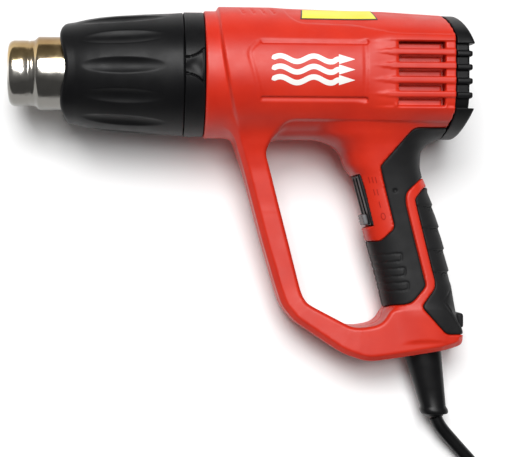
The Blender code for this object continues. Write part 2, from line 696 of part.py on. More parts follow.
def build_switch(gun):
    bezel = switch_box(BEZEL_SIZE, 0)
    boolean(bezel, "DIFFERENCE", switch_box((*SWITCH_SLOT, 20), 10))
    node(bezel, "switch_bezel", "black_plastic", gun)
    body = switch_box(SWITCH_BODY, -SWITCH_BODY_DEPTH)
    boolean(body, "DIFFERENCE", switch_box((27, 5, 10), 1.5))
    node(body, "switch_body", "black_plastic", gun)
    # The slider is modelled about its own origin: X along the travel, Y across the grip, Z out of the face.
    length, width, height = KNOB_SIZE
    knob = box((-length / 2, -width / 2, GAP), (length / 2, width / 2, GAP + height))
    across = box((-0.8, -width / 2 + 1, GAP + height - 0.5), (0.8, width / 2 - 1, GAP + height + 0.7))
    stem_length, stem_width, stem_depth = SWITCH_STEM
    stem = box((-stem_length / 2, -stem_width / 2, -stem_depth), (stem_length / 2, stem_width / 2, 1))
    boolean(knob, "UNION", across, stem)
    up, out = Vector(SWITCH_UP), Vector(SWITCH_OUT)
    frame = Matrix((up, out.cross(up), out)).transposed()
    place = Vector(SWITCH_CENTRE) - up * SWITCH_TRAVEL / 2
    node(knob, "switch_slider", "black_plastic", gun, place, frame.to_euler())


def build_wiring(gun):
    node(box((108, -104, -8), (120, -92, 8)), "terminal_block", "white_plastic", gun)
    hole = CLAMP_SCREW_RADIUS + GAP
    legs = pins(CLAMP_SCREWS, (CLAMP_POST_TOP + GAP, CLAMP_POST_RADIUS - 0.1), (5, CLAMP_POST_RADIUS - 0.1))
    clamp = boolean(box(*CLAMP_BAR), "UNION", legs)
    boolean(clamp, "DIFFERENCE", pins(CLAMP_SCREWS, (-5, hole), (10, hole)))
    node(cleaned(clamp), "cord_clamp", "black_plastic", gun)
    seat = CLAMP_BAR[1][2] + GAP
    first = screw_solid(CLAMP_SCREW_RADIUS, 2.0, 1.6, seat - CLAMP_POST_TOP + 3)
    for number, (x, y) in enumerate(CLAMP_SCREWS, start=1):
        node(copy_of(first), f"clamp_screw_{number}", "dark_steel", gun, (x, y, seat), Euler((math.pi, 0, 0)))
    bpy.data.objects.remove(first)
    for name, look, side in (("wire_live", "brown_wire", 1), ("wire_neutral", "blue_wire", -1)):
        route = ((112, -90.8, 4), (110, -86, 7), (107, -76, 10.3), (104, -62, 10.3), (103, -50, 10.3),
                 (99, -38, 12), (90, -27.6, 17), (78, -24.6, 20), (50, -24.4, 20), (24, -24.0, 19.6),
                 (15, -23.2, 18.6), (10.5, -22.6, 18.1), (7.7, -18, 14.4), (7.2, -12, 10), (7.0, -7, 6))
        node(tube(smooth_route([(x, y, z * side) for x, y, z in route], 7), 1.1, resolution=1),
             name, look, gun)
    lead = smooth_route(((104.8, -48, 3), (102, -40, 4), (97.6, -26, 5), (96, -16, 5), (95.2, -9, 4)), 5)
    node(tube(lead, 1.0, resolution=1), "wire_motor", "brown_wire", gun)


def build_boot(gun):
    boot = loft([boot_ring(*section) for section in BOOT_SECTIONS])
    direction = Vector((BOOT_END[0] - BOOT_TOP[0], BOOT_END[1] - BOOT_TOP[1], 0)).normalized()
    bore = rod(-8, 60, BOOT_BORE, 16)
    turn = Vector((1, 0, 0)).rotation_difference(direction).to_matrix().to_4x4()
    bore.data.transform(Matrix.Translation(Vector((*BOOT_TOP, 0)) * MM) @ turn)
    node(boolean(boot, "DIFFERENCE", bore), "strain_relief", "black_rubber", gun)
    end = Vector((*BOOT_END, 0)) + direction * 0.4
    lead = [(114, -104.3, 0), (114.4, -114, 0), (115.1, -125, 0), (117, -133.5, 0)]
    lead += [tuple(Vector((*BOOT_TOP, 0)).lerp(end, share)) for share in (0.06, 0.5, 1)]
    node(tube(smooth_route(lead, 8), CORD_RADIUS, resolution=3), "inner_lead", "black_rubber", gun)


def build_guard(gun):
    node(turned(GUARD_PROFILE), "heat_guard", "black_plastic", gun)


# ---------------------------------------------------------------- free cord, on the bench

def build_cord():
    node(tube(smooth_route(CORD_ROUTE, 8), CORD_RADIUS, resolution=3), "power_cord", "black_rubber")
    node(tube(smooth_route(TAIL_ROUTE, 8), CORD_RADIUS, resolution=3), "cord_tail", "black_rubber")
    coil = turned([(z, radius) for radius, z in COIL_SECTION], 32)
    coil.data.transform(Matrix.Rotation(-math.pi / 2, 4, "Y"))
    node(coil, "cord_coil", "black_rubber", None, (*COIL_CENTRE, 0))
    # The tie: a flat strap wrapped round the coil's section at its left side.
    inner = grow(COIL_SECTION, TIE_GAP)
    outer = grow(COIL_SECTION, TIE_GAP + TIE_THICKNESS)
    band = loft([[(-radius, y, z) for radius, z in outer] for y in (-TIE_WIDTH / 2, TIE_WIDTH / 2)])
    hole = loft([[(-radius, y, z) for radius, z in inner] for y in (-TIE_WIDTH, TIE_WIDTH)])
    boolean(band, "DIFFERENCE", hole)
    node(band, "cord_tie", "black_plastic", None, (*COIL_CENTRE, 0))


def build_plug():
    rings = []
    for along, half_y, half_z in PLUG_SECTIONS:
        ring = []
        for i in range(20):
            angle = 2 * math.pi * i / 20
            cos, sin = math.cos(angle), math.sin(angle)
            ring.append((-along, half_y * math.copysign(abs(cos) ** 0.8, cos),
                         half_z * math.copysign(abs(sin) ** 0.8, sin)))
        rings.append(ring)
    node(loft(rings), "plug_body", "black_rubber", None, PLUG_START)
    first = rod(0, PIN_LENGTH, PIN_RADIUS, 14)
    for number, side in enumerate((1, -1), start=1):
        x, y, z = PLUG_START
        start = x - PLUG_SECTIONS[-1][0] - GAP - PIN_LENGTH
        place = (start, y + side * PIN_SPACING / 2, z)
        node(copy_of(first), f"plug_pin_{number}", "bright_steel", None, place)
    bpy.data.objects.remove(first)


def main():
    for obj in list(bpy.data.objects):
        bpy.data.objects.remove(obj)
    gun = bpy.data.objects.new("gun_frame", None)
    bpy.context.scene.collection.objects.link(gun)
    gun.location = Vector(REST_SHIFT) * MM
    gun.rotation_euler = (TILT, 0, 0)
    build_casing(gun)
    build_screws(gun)
    build_heater(gun)
    build_motor(gun)
    build_switch(gun)
    build_wiring(gun)
    build_boot(gun)
    build_guard(gun)
    build_cord()
    build_plug()


main()
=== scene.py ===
"""Heat gun on its side in a studio: the detailed look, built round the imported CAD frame.

Shapes are worked out in the gun frame, in millimetres: +X runs along the barrel from the nozzle to the rear
cap, +Y from the handle up to the barrel and +Z out of the left side, which faces the camera. Moulded pieces
are distance fields, negative inside, which skin() turns into meshes; the rest are turned or lofted. The
free cord is laid out in bench millimetres.
"""
import json
import math

import bpy
import numpy as np
from mathutils import Matrix, Vector


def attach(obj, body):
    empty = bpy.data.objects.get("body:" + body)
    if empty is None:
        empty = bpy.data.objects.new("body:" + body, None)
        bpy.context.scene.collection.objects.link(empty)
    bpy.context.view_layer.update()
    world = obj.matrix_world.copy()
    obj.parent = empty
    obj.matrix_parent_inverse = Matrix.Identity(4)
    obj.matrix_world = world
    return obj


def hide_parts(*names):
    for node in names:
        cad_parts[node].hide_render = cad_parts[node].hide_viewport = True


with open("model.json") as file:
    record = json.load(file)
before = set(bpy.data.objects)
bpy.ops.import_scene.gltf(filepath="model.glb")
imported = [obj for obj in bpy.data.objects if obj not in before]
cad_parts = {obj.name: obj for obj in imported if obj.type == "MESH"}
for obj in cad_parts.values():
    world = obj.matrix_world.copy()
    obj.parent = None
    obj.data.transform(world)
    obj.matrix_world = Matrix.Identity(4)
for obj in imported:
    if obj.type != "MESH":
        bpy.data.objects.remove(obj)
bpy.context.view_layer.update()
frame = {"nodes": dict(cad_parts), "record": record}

MM = 0.001
TILT = math.radians(7.61)
GUN = (Matrix.Translation(Vector((-19.1, 73.8, 37.94)) * MM) @ Matrix.Rotation(TILT, 4, "X")
       @ Matrix.Scale(MM, 4))
BENCH = Matrix.Scale(MM, 4)

# Barrel: a round ring in front of a slanted ridge, then a body that turns from round to eight-sided.
RING_RADIUS = 34.5
BARREL_SIDE = 36.9
FLAT_SIDE = 36.95
BARREL_DIAGONAL = 39.7
BARREL_REAR = 132.5
BARREL_X = (7, 36, 45.7, 96.5, 132.5)
BARREL_TOP = (36.9, 36.9, 36.3, 35.1, 33.2)
BARREL_BOTTOM = (35.3, 35.3, 35.3, 35.2, 34.7)
FACETS_FROM, FACETS_FULL = 78.0, 100.0

# Grip sections: height, front edge, rear edge, half width.
GRIP_SECTIONS = (
    (-20, 60, 131, 27), (-33, 63, 128, 24), (-38, 71, 121.8, 22), (-42.2, 74.9, 119.3, 21),
    (-50, 77.6, 118.8, 19.4), (-54.8, 81.3, 119.8, 18.6), (-61.6, 83.0, 123, 18), (-76, 86.0, 127.9, 17.5),
    (-88.5, 89.0, 131.3, 17.4), (-105.3, 93.7, 134.9, 17.6), (-124.8, 98.7, 138.0, 18.6),
    (-131, 100, 139.2, 18.8), (-146, 101, 139.4, 17.2),
)

# Loop and foot sections: outer point, inner point, half thickness.
LOOP_SECTIONS = (
    ((7, -8), (47, -8), 22), ((12, -25), (42, -25), 21), ((15.9, -34.7), (36.5, -34.5), 18.2),
    ((18.2, -42), (32.7, -42.5), 15.4), ((21.3, -51.5), (35.2, -51), 13.4), ((26.3, -70.6),
    (40.2, -70.3), 12.2),
    ((31.3, -89.7), (45.2, -89.7), 12), ((39.3, -117.2), (52.4, -118.4), 12.5),
    ((42.2, -125.6), (54.8, -123.1), 13), ((48.8, -133.9), (57.5, -125.4), 13.6),
    ((74.4, -151.2), (78.6, -136.6), 16), ((85.1, -155), (82.2, -137.3), 17),
    ((89.9, -155.7), (86.9, -137.2), 17.4), ((96, -155.1), (93.7, -135.9), 17.6),
    ((104, -154), (97.4, -133.2), 17.7), ((108, -153.4), (101, -127), 17.7),
    ((131.6, -149.8), (132, -126), 17.6), ((139.5, -147.5), (139.5, -137), 16.8), ((141.2, -145),
    (140.8, -140), 15),
)

GRIP_PAD_OUTLINE = (
    (142, -29.5), (112, -29.8), (94.7, -50), (94.9, -51.7), (102.5, -82), (102.2, -84), (96.2, -90),
    (94.3, -90.8), (78, -90.8), (78, -134), (96.5, -134), (97.9, -130.8), (99.1, -126.8), (101.2, -125.3),
    (108.6, -124.8), (112.7, -123.4), (119.6, -115.1), (119.4, -113), (108.7, -70),
    (108.9, -64.2), (118, -56.2), (142, -52),
)
REAR_PAD_OUTLINE = (
    (119.9, -61.1), (114, -67.4), (114.4, -70), (125, -113), (124.7, -116.2), (117.8, -125.4),
    (118.1, -127), (130.2, -140.3), (132.2, -141.2), (147, -141.2), (150, -100), (130, -60.6),
)
LOGO_PANEL = ((27.6, 14.8), (83.8, 14.8), (83.8, -15.8), (29, -15.8), (22, 9.1))
UNDERCUT = ((34, -44), (41.5, -28), (46, -25.9), (84, -26.1), (97, -26.6), (134, -26.8), (134, -44))
TOP_PANEL = ((43, 42), (43, 30.8), (49.5, 25.4), (80, 24.4), (99, 19.6), (134, 19.2), (134, 42))
VENT_HEIGHTS = (13.3, 6.1, -1.3, -9.1, -16.5)
VENT_SPAN = (101.6, 126.7)
VENT_HEIGHT = 3.8
BAR_HEIGHTS = (9.6, 2.4, -5.2, -12.8)
SCREWS = (
    (22, 32.5), (76, 32.2), (122, 29.3), (50, -31.2), (113, -50), (127, -100), (102, -146),
    (38.3, -88), (66, -137.9),
)
SWITCH_CENTRE = Vector((87.1, -68.5, 0))
SWITCH_UP = Vector((-0.264, 0.9645, 0))
SWITCH_OUT = Vector((-0.9645, -0.264, 0))

BOOT_TOP = (118.5, -139.0)
BOOT_END = (128.0, -186.0)

# Cord, on the bench: 7 mm thick, with its stored length in a coil of six turns.
CORD_RADIUS = 3.5
CORD_ROUTE = (
    (109.4, -112.25, 13.0), (111.8, -116.8, 12.1), (114.9, -120.8, 11.0), (119.7, -126.0, 9.3),
    (124.5, -131.1, 7.5), (130, -137.0, 5.8), (136.8, -145.8, 4.5), (141.6, -155.3, 4.0), (144, -163, 4.0),
)
COIL_CENTRE = (96.9, -199.6)
COIL_TURNS = ((49, 4.3), (42, 4.3), (35, 4.3), (38.5, 10.4), (45.5, 10.4), (42, 16.4))
TAIL_ROUTE = (
    (89, -256.8, 3.9), (78, -256.8, 3.9), (66, -255.1, 4.4), (55, -252.6, 6.4), (46, -251.2, 8.2),
    (38.6, -250.8, 8.6),
)
PLUG_START = (38.2, -250.8, 8.6)


# ---------------------------------------------------------------- meshes

def mesh_object(name, points, faces, place=GUN):
    """A smooth mesh from points in millimetres and faces of equal corner count, placed on the bench."""
    turn = np.array(place)
    world = np.asarray(points, float) @ turn[:3, :3].T + turn[:3, 3]
    faces = np.asarray(faces, np.int32)
    count, corners = faces.shape
    mesh = bpy.data.meshes.new(name)
    mesh.vertices.add(len(world))
    mesh.vertices.foreach_set("co", world.astype(np.float32).ravel())
    mesh.loops.add(count * corners)
    mesh.loops.foreach_set("vertex_index", faces.ravel())
    mesh.polygons.add(count)
    mesh.polygons.foreach_set("loop_start", np.arange(count, dtype=np.int32) * corners)
    mesh.update(calc_edges=True)
    mesh.shade_smooth()
    made = bpy.data.objects.new(name, mesh)
    bpy.context.scene.collection.objects.link(made)
    return made


def lattice(low, high, step):
    """The three axes of a sampling lattice, shaped so that they broadcast."""
    x, y, z = (np.arange(a, b + step, step) for a, b in zip(low, high))
    return x[:, None, None], y[None, :, None], z[None, None, :]


def skin(field, axes):
    """Surface nets: (points, quads) of the surface where the sampled field crosses zero."""
    inside = field < 0
    count = np.zeros(tuple(n - 1 for n in field.shape), np.int8)
    offsets = [(i, j, k) for i in (0, 1) for j in (0, 1) for k in (0, 1)]
    for i, j, k in offsets:
        count += inside[i:i + count.shape[0], j:j + count.shape[1], k:k + count.shape[2]]
    cells = np.argwhere((count > 0) & (count < 8))
    corners = np.array(offsets)
    values = np.stack([field[tuple((cells + corner).T)] for corner in corners], axis=1)
    total = np.zeros((len(cells), 3))
    crossings = np.zeros((len(cells), 1))
    for a in range(8):
        for b in range(a + 1, 8):
            if np.abs(corners[a] - corners[b]).sum() != 1:
                continue
            crossed = ((values[:, a] < 0) != (values[:, b] < 0))[:, None]
            span = np.where(crossed, (values[:, a] - values[:, b])[:, None], 1.0)
            share = values[:, a][:, None] / span
            total += crossed * (corners[a] + share * (corners[b] - corners[a]))
            crossings += crossed
    step = [float(axis.ravel()[1] - axis.ravel()[0]) for axis in axes]
    origin = [float(axis.ravel()[0]) for axis in axes]
    points = (cells + total / crossings) * step + origin
    number = np.full(count.shape, -1, np.int32)
    number[tuple(cells.T)] = np.arange(len(cells))
    quads = []
    for axis in range(3):
        second, third = (axis + 1) % 3, (axis + 2) % 3
        here = np.moveaxis(inside, axis, 0)
        changed = np.moveaxis(here[:-1] != here[1:], 0, axis)
        edges = np.argwhere(changed)
        edges = edges[(edges[:, second] > 0) & (edges[:, third] > 0)]
        edges = edges[(edges[:, second] < count.shape[second]) & (edges[:, third] < count.shape[third])]
        around = []
        for back_second, back_third in ((1, 1), (0, 1), (0, 0), (1, 0)):
            cell = edges.copy()
            cell[:, second] -= back_second
            cell[:, third] -= back_third
            around.append(number[tuple(cell.T)])
        ring = np.stack(around, axis=1)
        leaving = inside[tuple(edges.T)]
        quads.append(np.where(leaving[:, None], ring, ring[:, ::-1]))
    return points, np.concatenate(quads)


def relaxed(points, quads, rounds=1, amount=0.5):
    """Moves each point part of the way to the middle of its faces, which takes out the lattice's steps."""
    for _ in range(rounds):
        middles = points[quads].mean(axis=1)
        total = np.zeros_like(points)
        uses = np.zeros(len(points))
        for corner in range(4):
            np.add.at(total, quads[:, corner], middles)
            np.add.at(uses, quads[:, corner], 1)
        points = points + amount * (total / uses[:, None] - points)
    return points


def moulded(name, field, axes, mirror=False):
    """The mesh of a sampled field, mirrored in the mid-plane if asked."""
    points, quads = skin(field, axes)
    points = relaxed(points, quads)
    if mirror:
        points = points * (1, 1, -1)
        quads = quads[:, ::-1]
    return mesh_object(name, points, quads)


def facing_out(points, faces):
    """The faces, turned round if the closed mesh they make is inside out."""
    a, b, c = (points[faces[:, k]] for k in (0, 1, 2))
    volume = np.einsum("ij,ij->i", a, np.cross(b, c)).sum()
    if faces.shape[1] == 4:
        d = points[faces[:, 3]]
        volume += np.einsum("ij,ij->i", a, np.cross(c, d)).sum()
    return faces if volume > 0 else faces[:, ::-1]


def lofted(name, rings, place=GUN, closed=False):
    """A mesh through rings of equal point count, capped by fans at its ends unless it closes on itself."""
    rings = np.asarray(rings, float)
    count, around = rings.shape[:2]
    points = rings.reshape(-1, 3)
    spans = count if closed else count - 1
    i, j = np.meshgrid(np.arange(spans), np.arange(around), indexing="ij")
    near, far = i * around, (i + 1) % count * around
    after = (j + 1) % around
    quads = np.stack((near + j, near + after, far + after, far + j), axis=-1).reshape(-1, 4)
    if closed:
        return mesh_object(name, points, facing_out(points, quads), place)
    tips = rings[[0, -1]].mean(axis=1)
    start, end = len(points), len(points) + 1
    points = np.concatenate((points, tips))
    j = np.arange(around)
    after = (j + 1) % around
    last = (count - 1) * around
    first_cap = np.stack((after, j, np.full(around, start)), axis=-1)
    last_cap = np.stack((last + j, last + after, np.full(around, end)), axis=-1)
    split = np.concatenate((quads[:, [0, 1, 2]], quads[:, [0, 2, 3]]))
    return mesh_object(name, points, facing_out(points, np.concatenate((split, first_cap, last_cap))), place)


def creased(obj, degrees=35):
    obj.data.set_sharp_from_angle(angle=math.radians(degrees))
    return obj


# ---------------------------------------------------------------- distance fields

def union(a, b, blend=0.0):
    """Smaller of two fields, with a fillet of about the blend where they meet."""
    if not blend:
        return np.minimum(a, b)
    share = np.clip(0.5 + 0.5 * (b - a) / blend, 0, 1)
    return b * (1 - share) + a * share - blend * share * (1 - share)


def common(a, b, blend=0.0):
    return -union(-a, -b, blend)


def smoothstep(low, high, value):
    t = np.clip((value - low) / (high - low), 0, 1)
    return t * t * (3 - 2 * t)


def eased(stations, values, at, spread=3.0):
    """Values read along stations, with the bends between them smoothed over the spread."""
    fine = np.arange(min(stations) - spread, max(stations) + spread, 0.25)
    order = np.argsort(stations)
    line = np.interp(fine, np.asarray(stations)[order], np.asarray(values)[order])
    width = int(spread / 0.25) | 1
    window = np.hanning(width + 2)[1:-1]
    padded = np.pad(line, width // 2, mode="edge")
    line = np.convolve(padded, window / window.sum(), mode="valid")
    return np.interp(at, fine, line)


def rounded(outline, radius, arc=5):
    """An outline with its corners replaced by short curves that start the radius away from each."""
    made = []
    count = len(outline)
    for i in range(count):
        here, before, after = (Vector(outline[k % count]) for k in (i, i - 1, i + 1))
        back = min(radius, (before - here).length * 0.45)
        on = min(radius, (after - here).length * 0.45)
        start = here + (before - here).normalized() * back
        end = here + (after - here).normalized() * on
        for step in range(arc + 1):
            t = step / arc
            made.append(tuple(start * (1 - t) ** 2 + here * 2 * t * (1 - t) + end * t ** 2))
    return made


def line_distance(points, x, y):
    """Distance to an open line through the points."""
    best = np.full(np.broadcast(x, y).shape, 1e9)
    for (ax, ay), (bx, by) in zip(points, points[1:]):
        dx, dy = bx - ax, by - ay
        along = np.clip(((x - ax) * dx + (y - ay) * dy) / (dx * dx + dy * dy + 1e-12), 0, 1)
        best = np.minimum(best, np.hypot(x - ax - along * dx, y - ay - along * dy))
    return best


def outline_distance(points, x, y):
    """Signed distance to a closed outline, negative inside."""
    ring = list(points) + [points[0]]
    crossings = np.zeros(np.broadcast(x, y).shape, int)
    for (ax, ay), (bx, by) in zip(ring, ring[1:]):
        if ay != by:
            between = (ay > y) != (by > y)
            crossings += between & (x < (bx - ax) * (y - ay) / (by - ay) + ax)
    distance = line_distance(ring, x, y)
    return np.where(crossings % 2 == 1, -distance, distance)


def barrel_radius(x, y, z):
    """How far the barrel's skin is from its axis, in the direction of each point."""
    top = eased(BARREL_X, BARREL_TOP, x)
    bottom = eased(BARREL_X, BARREL_BOTTOM, x)
    height = np.where(y > 0, top, bottom)
    reach = np.sqrt(y * y + z * z) + 1e-6
    up, out = np.abs(y) / reach, np.abs(z) / reach
    round_radius = 1 / np.sqrt((up / height) ** 2 + (out / BARREL_SIDE) ** 2)
    crown = (up + 0.3 * out ** 2) / height
    diagonal = (up + out) / math.sqrt(2) / BARREL_DIAGONAL
    faceted_radius = (crown ** 14 + (out / FLAT_SIDE) ** 14 + diagonal ** 14) ** (-1 / 14)
    share = smoothstep(FACETS_FROM, FACETS_FULL, x)
    body = round_radius * (1 - share) + faceted_radius * share
    leaning = x - 0.0023 * (37 - y) ** 2
    step = smoothstep(6.4, 8.2, leaning)
    return RING_RADIUS * (1 - step) + body * step


def behind_seam(x, y):
    """How far a point is behind the seam of the rear cap, which leans forward above and below."""
    return x - BARREL_REAR + 0.2 * np.maximum(np.abs(y + 1) - 19, 0)


def side_relief(x, y):
    """How far the barrel's side is sunk below its plain skin, seen from the side."""
    bars = np.zeros(np.broadcast(x, y).shape)
    for height in BAR_HEIGHTS:
        bars = np.maximum(bars, 1 - smoothstep(1.5, 1.9, np.abs(y - height) + 0.12 * np.maximum(0, 99 - x)))
    field = smoothstep(-19.6, -19.0, y) * (1 - smoothstep(15.2, 15.8, y))
    ramp = 0.55 * smoothstep(84, 99, x) + 0.5 * smoothstep(100.2, 100.8, x)
    relief = field * ramp * (1 - bars)
    relief = relief + 1.0 * (1 - smoothstep(-0.5, 0.5, outline_distance(rounded(UNDERCUT, 4), x, y)))
    relief = relief + 0.5 * (1 - smoothstep(-0.4, 0.4, outline_distance(rounded(TOP_PANEL, 4), x, y)))
    for start in (18.4, 24.0, 29.5, 34.7):
        groove = np.abs(x - start - 0.35 * (37 - y))
        relief = relief + 0.7 * (1 - smoothstep(0.4, 0.9, groove)) * smoothstep(30.2, 31.0, y)
    panel = np.abs(outline_distance(rounded(LOGO_PANEL, 3), x, y))
    return relief + 0.28 * (1 - smoothstep(0.7, 1.4, panel))


def panel_ledges(x, y, z):
    """Flat strips along the name panel's upper and lower edges, cut square to the gun's side."""
    ledges = None
    for height, floor in ((14.8, 33.2), (-15.8, 32.3)):
        strip = np.hypot(np.maximum(np.abs(x - 57.0) - 27.3, 0), y - height) - 1.35
        cut = common(strip, floor - z)
        ledges = cut if ledges is None else union(ledges, cut)
    return ledges


def grip_field(x, y, z, inset=0.0):
    heights = [section[0] for section in GRIP_SECTIONS]
    front, rear, half = (eased(heights, [section[k] for section in GRIP_SECTIONS], y, 5.0) for k in (1, 2, 3))
    middle, reach = (front + rear) / 2, (rear - front) / 2 - inset
    across, deep = x - middle, np.abs(z)
    power = 2.6
    level = ((np.abs(across) / reach) ** power + (deep / (half - inset)) ** power + 1e-9) ** (1 / power)
    field = np.sqrt(across ** 2 + deep ** 2) * (1 - 1 / level)
    return np.maximum(np.maximum(field, y + 18), -143 + inset - y)


def loop_maps(x, y):
    """For each point seen from the side: distance to the loop's outline, its half thickness and chamfer."""
    outer = [section[0] for section in LOOP_SECTIONS]
    inner = [section[1] for section in LOOP_SECTIONS]
    outline = rounded(outer + inner[::-1], 3.5)
    flat = outline_distance(outline, x, y)
    middles = [(Vector(section[0]) + Vector(section[1])) / 2 for section in LOOP_SECTIONS]
    stations = [0.0]
    best = np.full(flat.shape, 1e9)
    place = np.zeros(flat.shape)
    for a, b in zip(middles, middles[1:]):
        run = b - a
        along = np.clip(((x - a.x) * run.x + (y - a.y) * run.y) / run.length_squared, 0, 1)
        distance = np.hypot(x - a.x - along * run.x, y - a.y - along * run.y)
        closer = distance < best
        best = np.where(closer, distance, best)
        place = np.where(closer, stations[-1] + along * run.length, place)
        stations.append(stations[-1] + run.length)
    half = eased(stations, [section[2] for section in LOOP_SECTIONS], place, 9.0)
    # The upper bar thins so fast that its thickness goes by height alone, or it would step at the bends.
    upper = [section for section in LOOP_SECTIONS if section[0][1] > -80]
    heights = [(section[0][1] + section[1][1]) / 2 for section in upper]
    half = np.where(y > -75, eased(heights, [section[2] for section in upper], y, 9.0), half)
    chamfer = np.where(line_distance(outer, x, y) < line_distance(inner, x, y), 3.0, 1.4)
    return flat, half, chamfer


def loop_field(maps, z, inset=0.0):
    flat, half, chamfer = maps
    deep = np.abs(z) - half + inset
    flat = flat + inset
    return np.maximum(np.maximum(flat, deep), (flat + deep + chamfer) / math.sqrt(2))


class Body:
    """The plain outside of the gun's casing, sampled on one side of the mid-plane."""

    def __init__(self, axes, relief=True):
        x, y, z = self.axes = axes
        flat_x, flat_y = x[:, :, 0], y[:, :, 0]
        radius = barrel_radius(x, y, z)
        self.tube = np.sqrt(y * y + z * z) - radius
        outside = self.tube
        if relief:
            facing = smoothstep(10, 16, z)
            outside = outside + side_relief(flat_x, flat_y)[:, :, None] * facing
            outside = common(outside, -panel_ledges(x, y, z))
        self.loop = tuple(part[:, :, None] for part in loop_maps(flat_x, flat_y))
        seam = behind_seam(x, y)
        barrel = np.maximum(common(outside, -x, 0.8), seam)
        grip = grip_field(x, y, z)
        handle = union(grip, loop_field(self.loop, z), 4.0)
        whole = union(union(barrel, grip, 7.0), loop_field(self.loop, z), 5.0)
        share = 1 - smoothstep(-100, -60, y)
        whole = whole * (1 - share) + handle * share
        self.field = np.where(seam > 0, handle, whole)

    def hollow(self):
        x, y, z = self.axes
        barrel = np.maximum(self.tube + 3.0, 2.8 - x)
        return union(union(barrel, grip_field(x, y, z, 4.2)), loop_field(self.loop, z, 3.4))


def pocket(outline, body, x, y, grow, depth):
    """The region of a pad: inside its outline and no deeper than the depth."""
    flat = outline_distance(rounded(outline, 3.2), x[:, :, 0], y[:, :, 0])[:, :, None]
    return np.maximum(flat - grow, -(body.field + depth))


def switch_cut(x, y, z, size, low, high):
    """A box in the switch's own directions: its length along the grip, and how far it reaches in and out."""
    length, width = size
    along = (x - SWITCH_CENTRE.x) * SWITCH_UP.x + (y - SWITCH_CENTRE.y) * SWITCH_UP.y
    out = (x - SWITCH_CENTRE.x) * SWITCH_OUT.x + (y - SWITCH_CENTRE.y) * SWITCH_OUT.y
    return np.maximum(np.maximum(np.abs(along) - length / 2, np.abs(z) - width / 2),
                      np.maximum(low - out, out - high))


def block(x, y, z, low, high):
    """A plain box between two corners."""
    gaps = [np.maximum(a - place, place - b) for place, a, b in zip((x, y, z), low, high)]
    return np.maximum(np.maximum(gaps[0], gaps[1]), gaps[2])


def vents(field, x, y, z):
    """Cuts the five side slots and hangs a louvre behind each, with one walled baffle behind them all."""
    left, right = VENT_SPAN
    reach = VENT_HEIGHT / 2
    for height in VENT_HEIGHTS:
        slot = block(x, y, z, (left, height - reach, 28), (right, height + reach, 60))
        field = common(field, -slot)
    for height in VENT_HEIGHTS:
        low, high = height - 2.9, height + 1.35
        louvre = block(x, y, z, (left - 2.2, low, 29.8), (right - 1.4, high, 31.4))
        hanger = block(x, y, z, (left - 2.2, low, 27.2), (left - 0.3, high, 35.0))
        field = union(union(field, louvre), hanger)
    baffle = block(x, y, z, (left - 2.2, -20.2, 27.2), (right + 0.6, 16.4, 28.4))
    end_wall = block(x, y, z, (right - 0.1, -20.2, 27.2), (right + 0.6, 16.4, 34.5))
    return union(union(field, baffle), end_wall)


def casing_field(body, right):
    """One half of the casing, on the side of the mid-plane that z is positive on."""
    x, y, z = body.axes
    field = body.field
    for outline in (GRIP_PAD_OUTLINE, REAR_PAD_OUTLINE):
        field = common(field, -pocket(outline, body, x, y, 0.3, 1.7))
    shell = np.maximum(field, -body.hollow())
    shell = vents(shell, x, y, z)
    for cx, cy in SCREWS:
        column = np.hypot(x - cx, y - cy)
        boss = np.maximum(column - 4.4, body.field + 1.9)
        shell = union(shell, boss)
        if right:
            shell = common(shell, -np.maximum(column - 2.9, 8.0 - z))
    shell = common(shell, -np.maximum(np.sqrt(y * y + z * z) - 24.5, x - 5))
    shell = common(shell, -switch_cut(x, y, z, (29.2, 24.8), -2.3, 20))
    shell = common(shell, -switch_cut(x, y, z, (27, 14), -12, 0))
    along = (y - BOOT_TOP[1]) / (BOOT_END[1] - BOOT_TOP[1])
    centre = BOOT_TOP[0] + along * (BOOT_END[0] - BOOT_TOP[0])
    boot_hole = np.maximum((np.sqrt(((x - centre) / 10.9) ** 2 + (z / 8.4) ** 2) - 1) * 8.4, y + 141)
    shell = common(shell, -boot_hole)
    return np.maximum(shell, 0.15 - z)


# ---------------------------------------------------------------- looks

def coordinates(tree):
    return tree.nodes.new("ShaderNodeTexCoord").outputs["Object"]


def noise(tree, scale, detail=3.0, roughness=0.5, stretch=None):
    """Noise in object space, stretched along an axis if asked. Returns its factor output."""
    made = tree.nodes.new("ShaderNodeTexNoise")
    made.inputs["Scale"].default_value = scale
    made.inputs["Detail"].default_value = detail
    made.inputs["Roughness"].default_value = roughness
    source = coordinates(tree)
    if stretch is not None:
        mapping = tree.nodes.new("ShaderNodeMapping")
        mapping.inputs["Scale"].default_value = stretch
        tree.links.new(source, mapping.inputs["Vector"])
        source = mapping.outputs["Vector"]
    tree.links.new(source, made.inputs["Vector"])
    return made.outputs["Fac"]


def ramp(tree, source, stops):
    """A colour ramp read by a factor, from (place, colour) stops."""
    made = tree.nodes.new("ShaderNodeValToRGB")
    elements = made.color_ramp.elements
    while len(elements) < len(stops):
        elements.new(0.5)
    for element, (place, colour) in zip(elements, stops):
        element.position = place
        element.color = (*colour, 1.0)
    tree.links.new(source, made.inputs["Fac"])
    return made.outputs["Color"]


def spread(tree, source, low, high):
    """A factor moved from about the middle half of 0..1 to low..high."""
    made = tree.nodes.new("ShaderNodeMapRange")
    made.inputs["From Min"].default_value = 0.3
    made.inputs["From Max"].default_value = 0.7
    made.inputs["To Min"].default_value = low
    made.inputs["To Max"].default_value = high
    tree.links.new(source, made.inputs["Value"])
    return made.outputs["Result"]


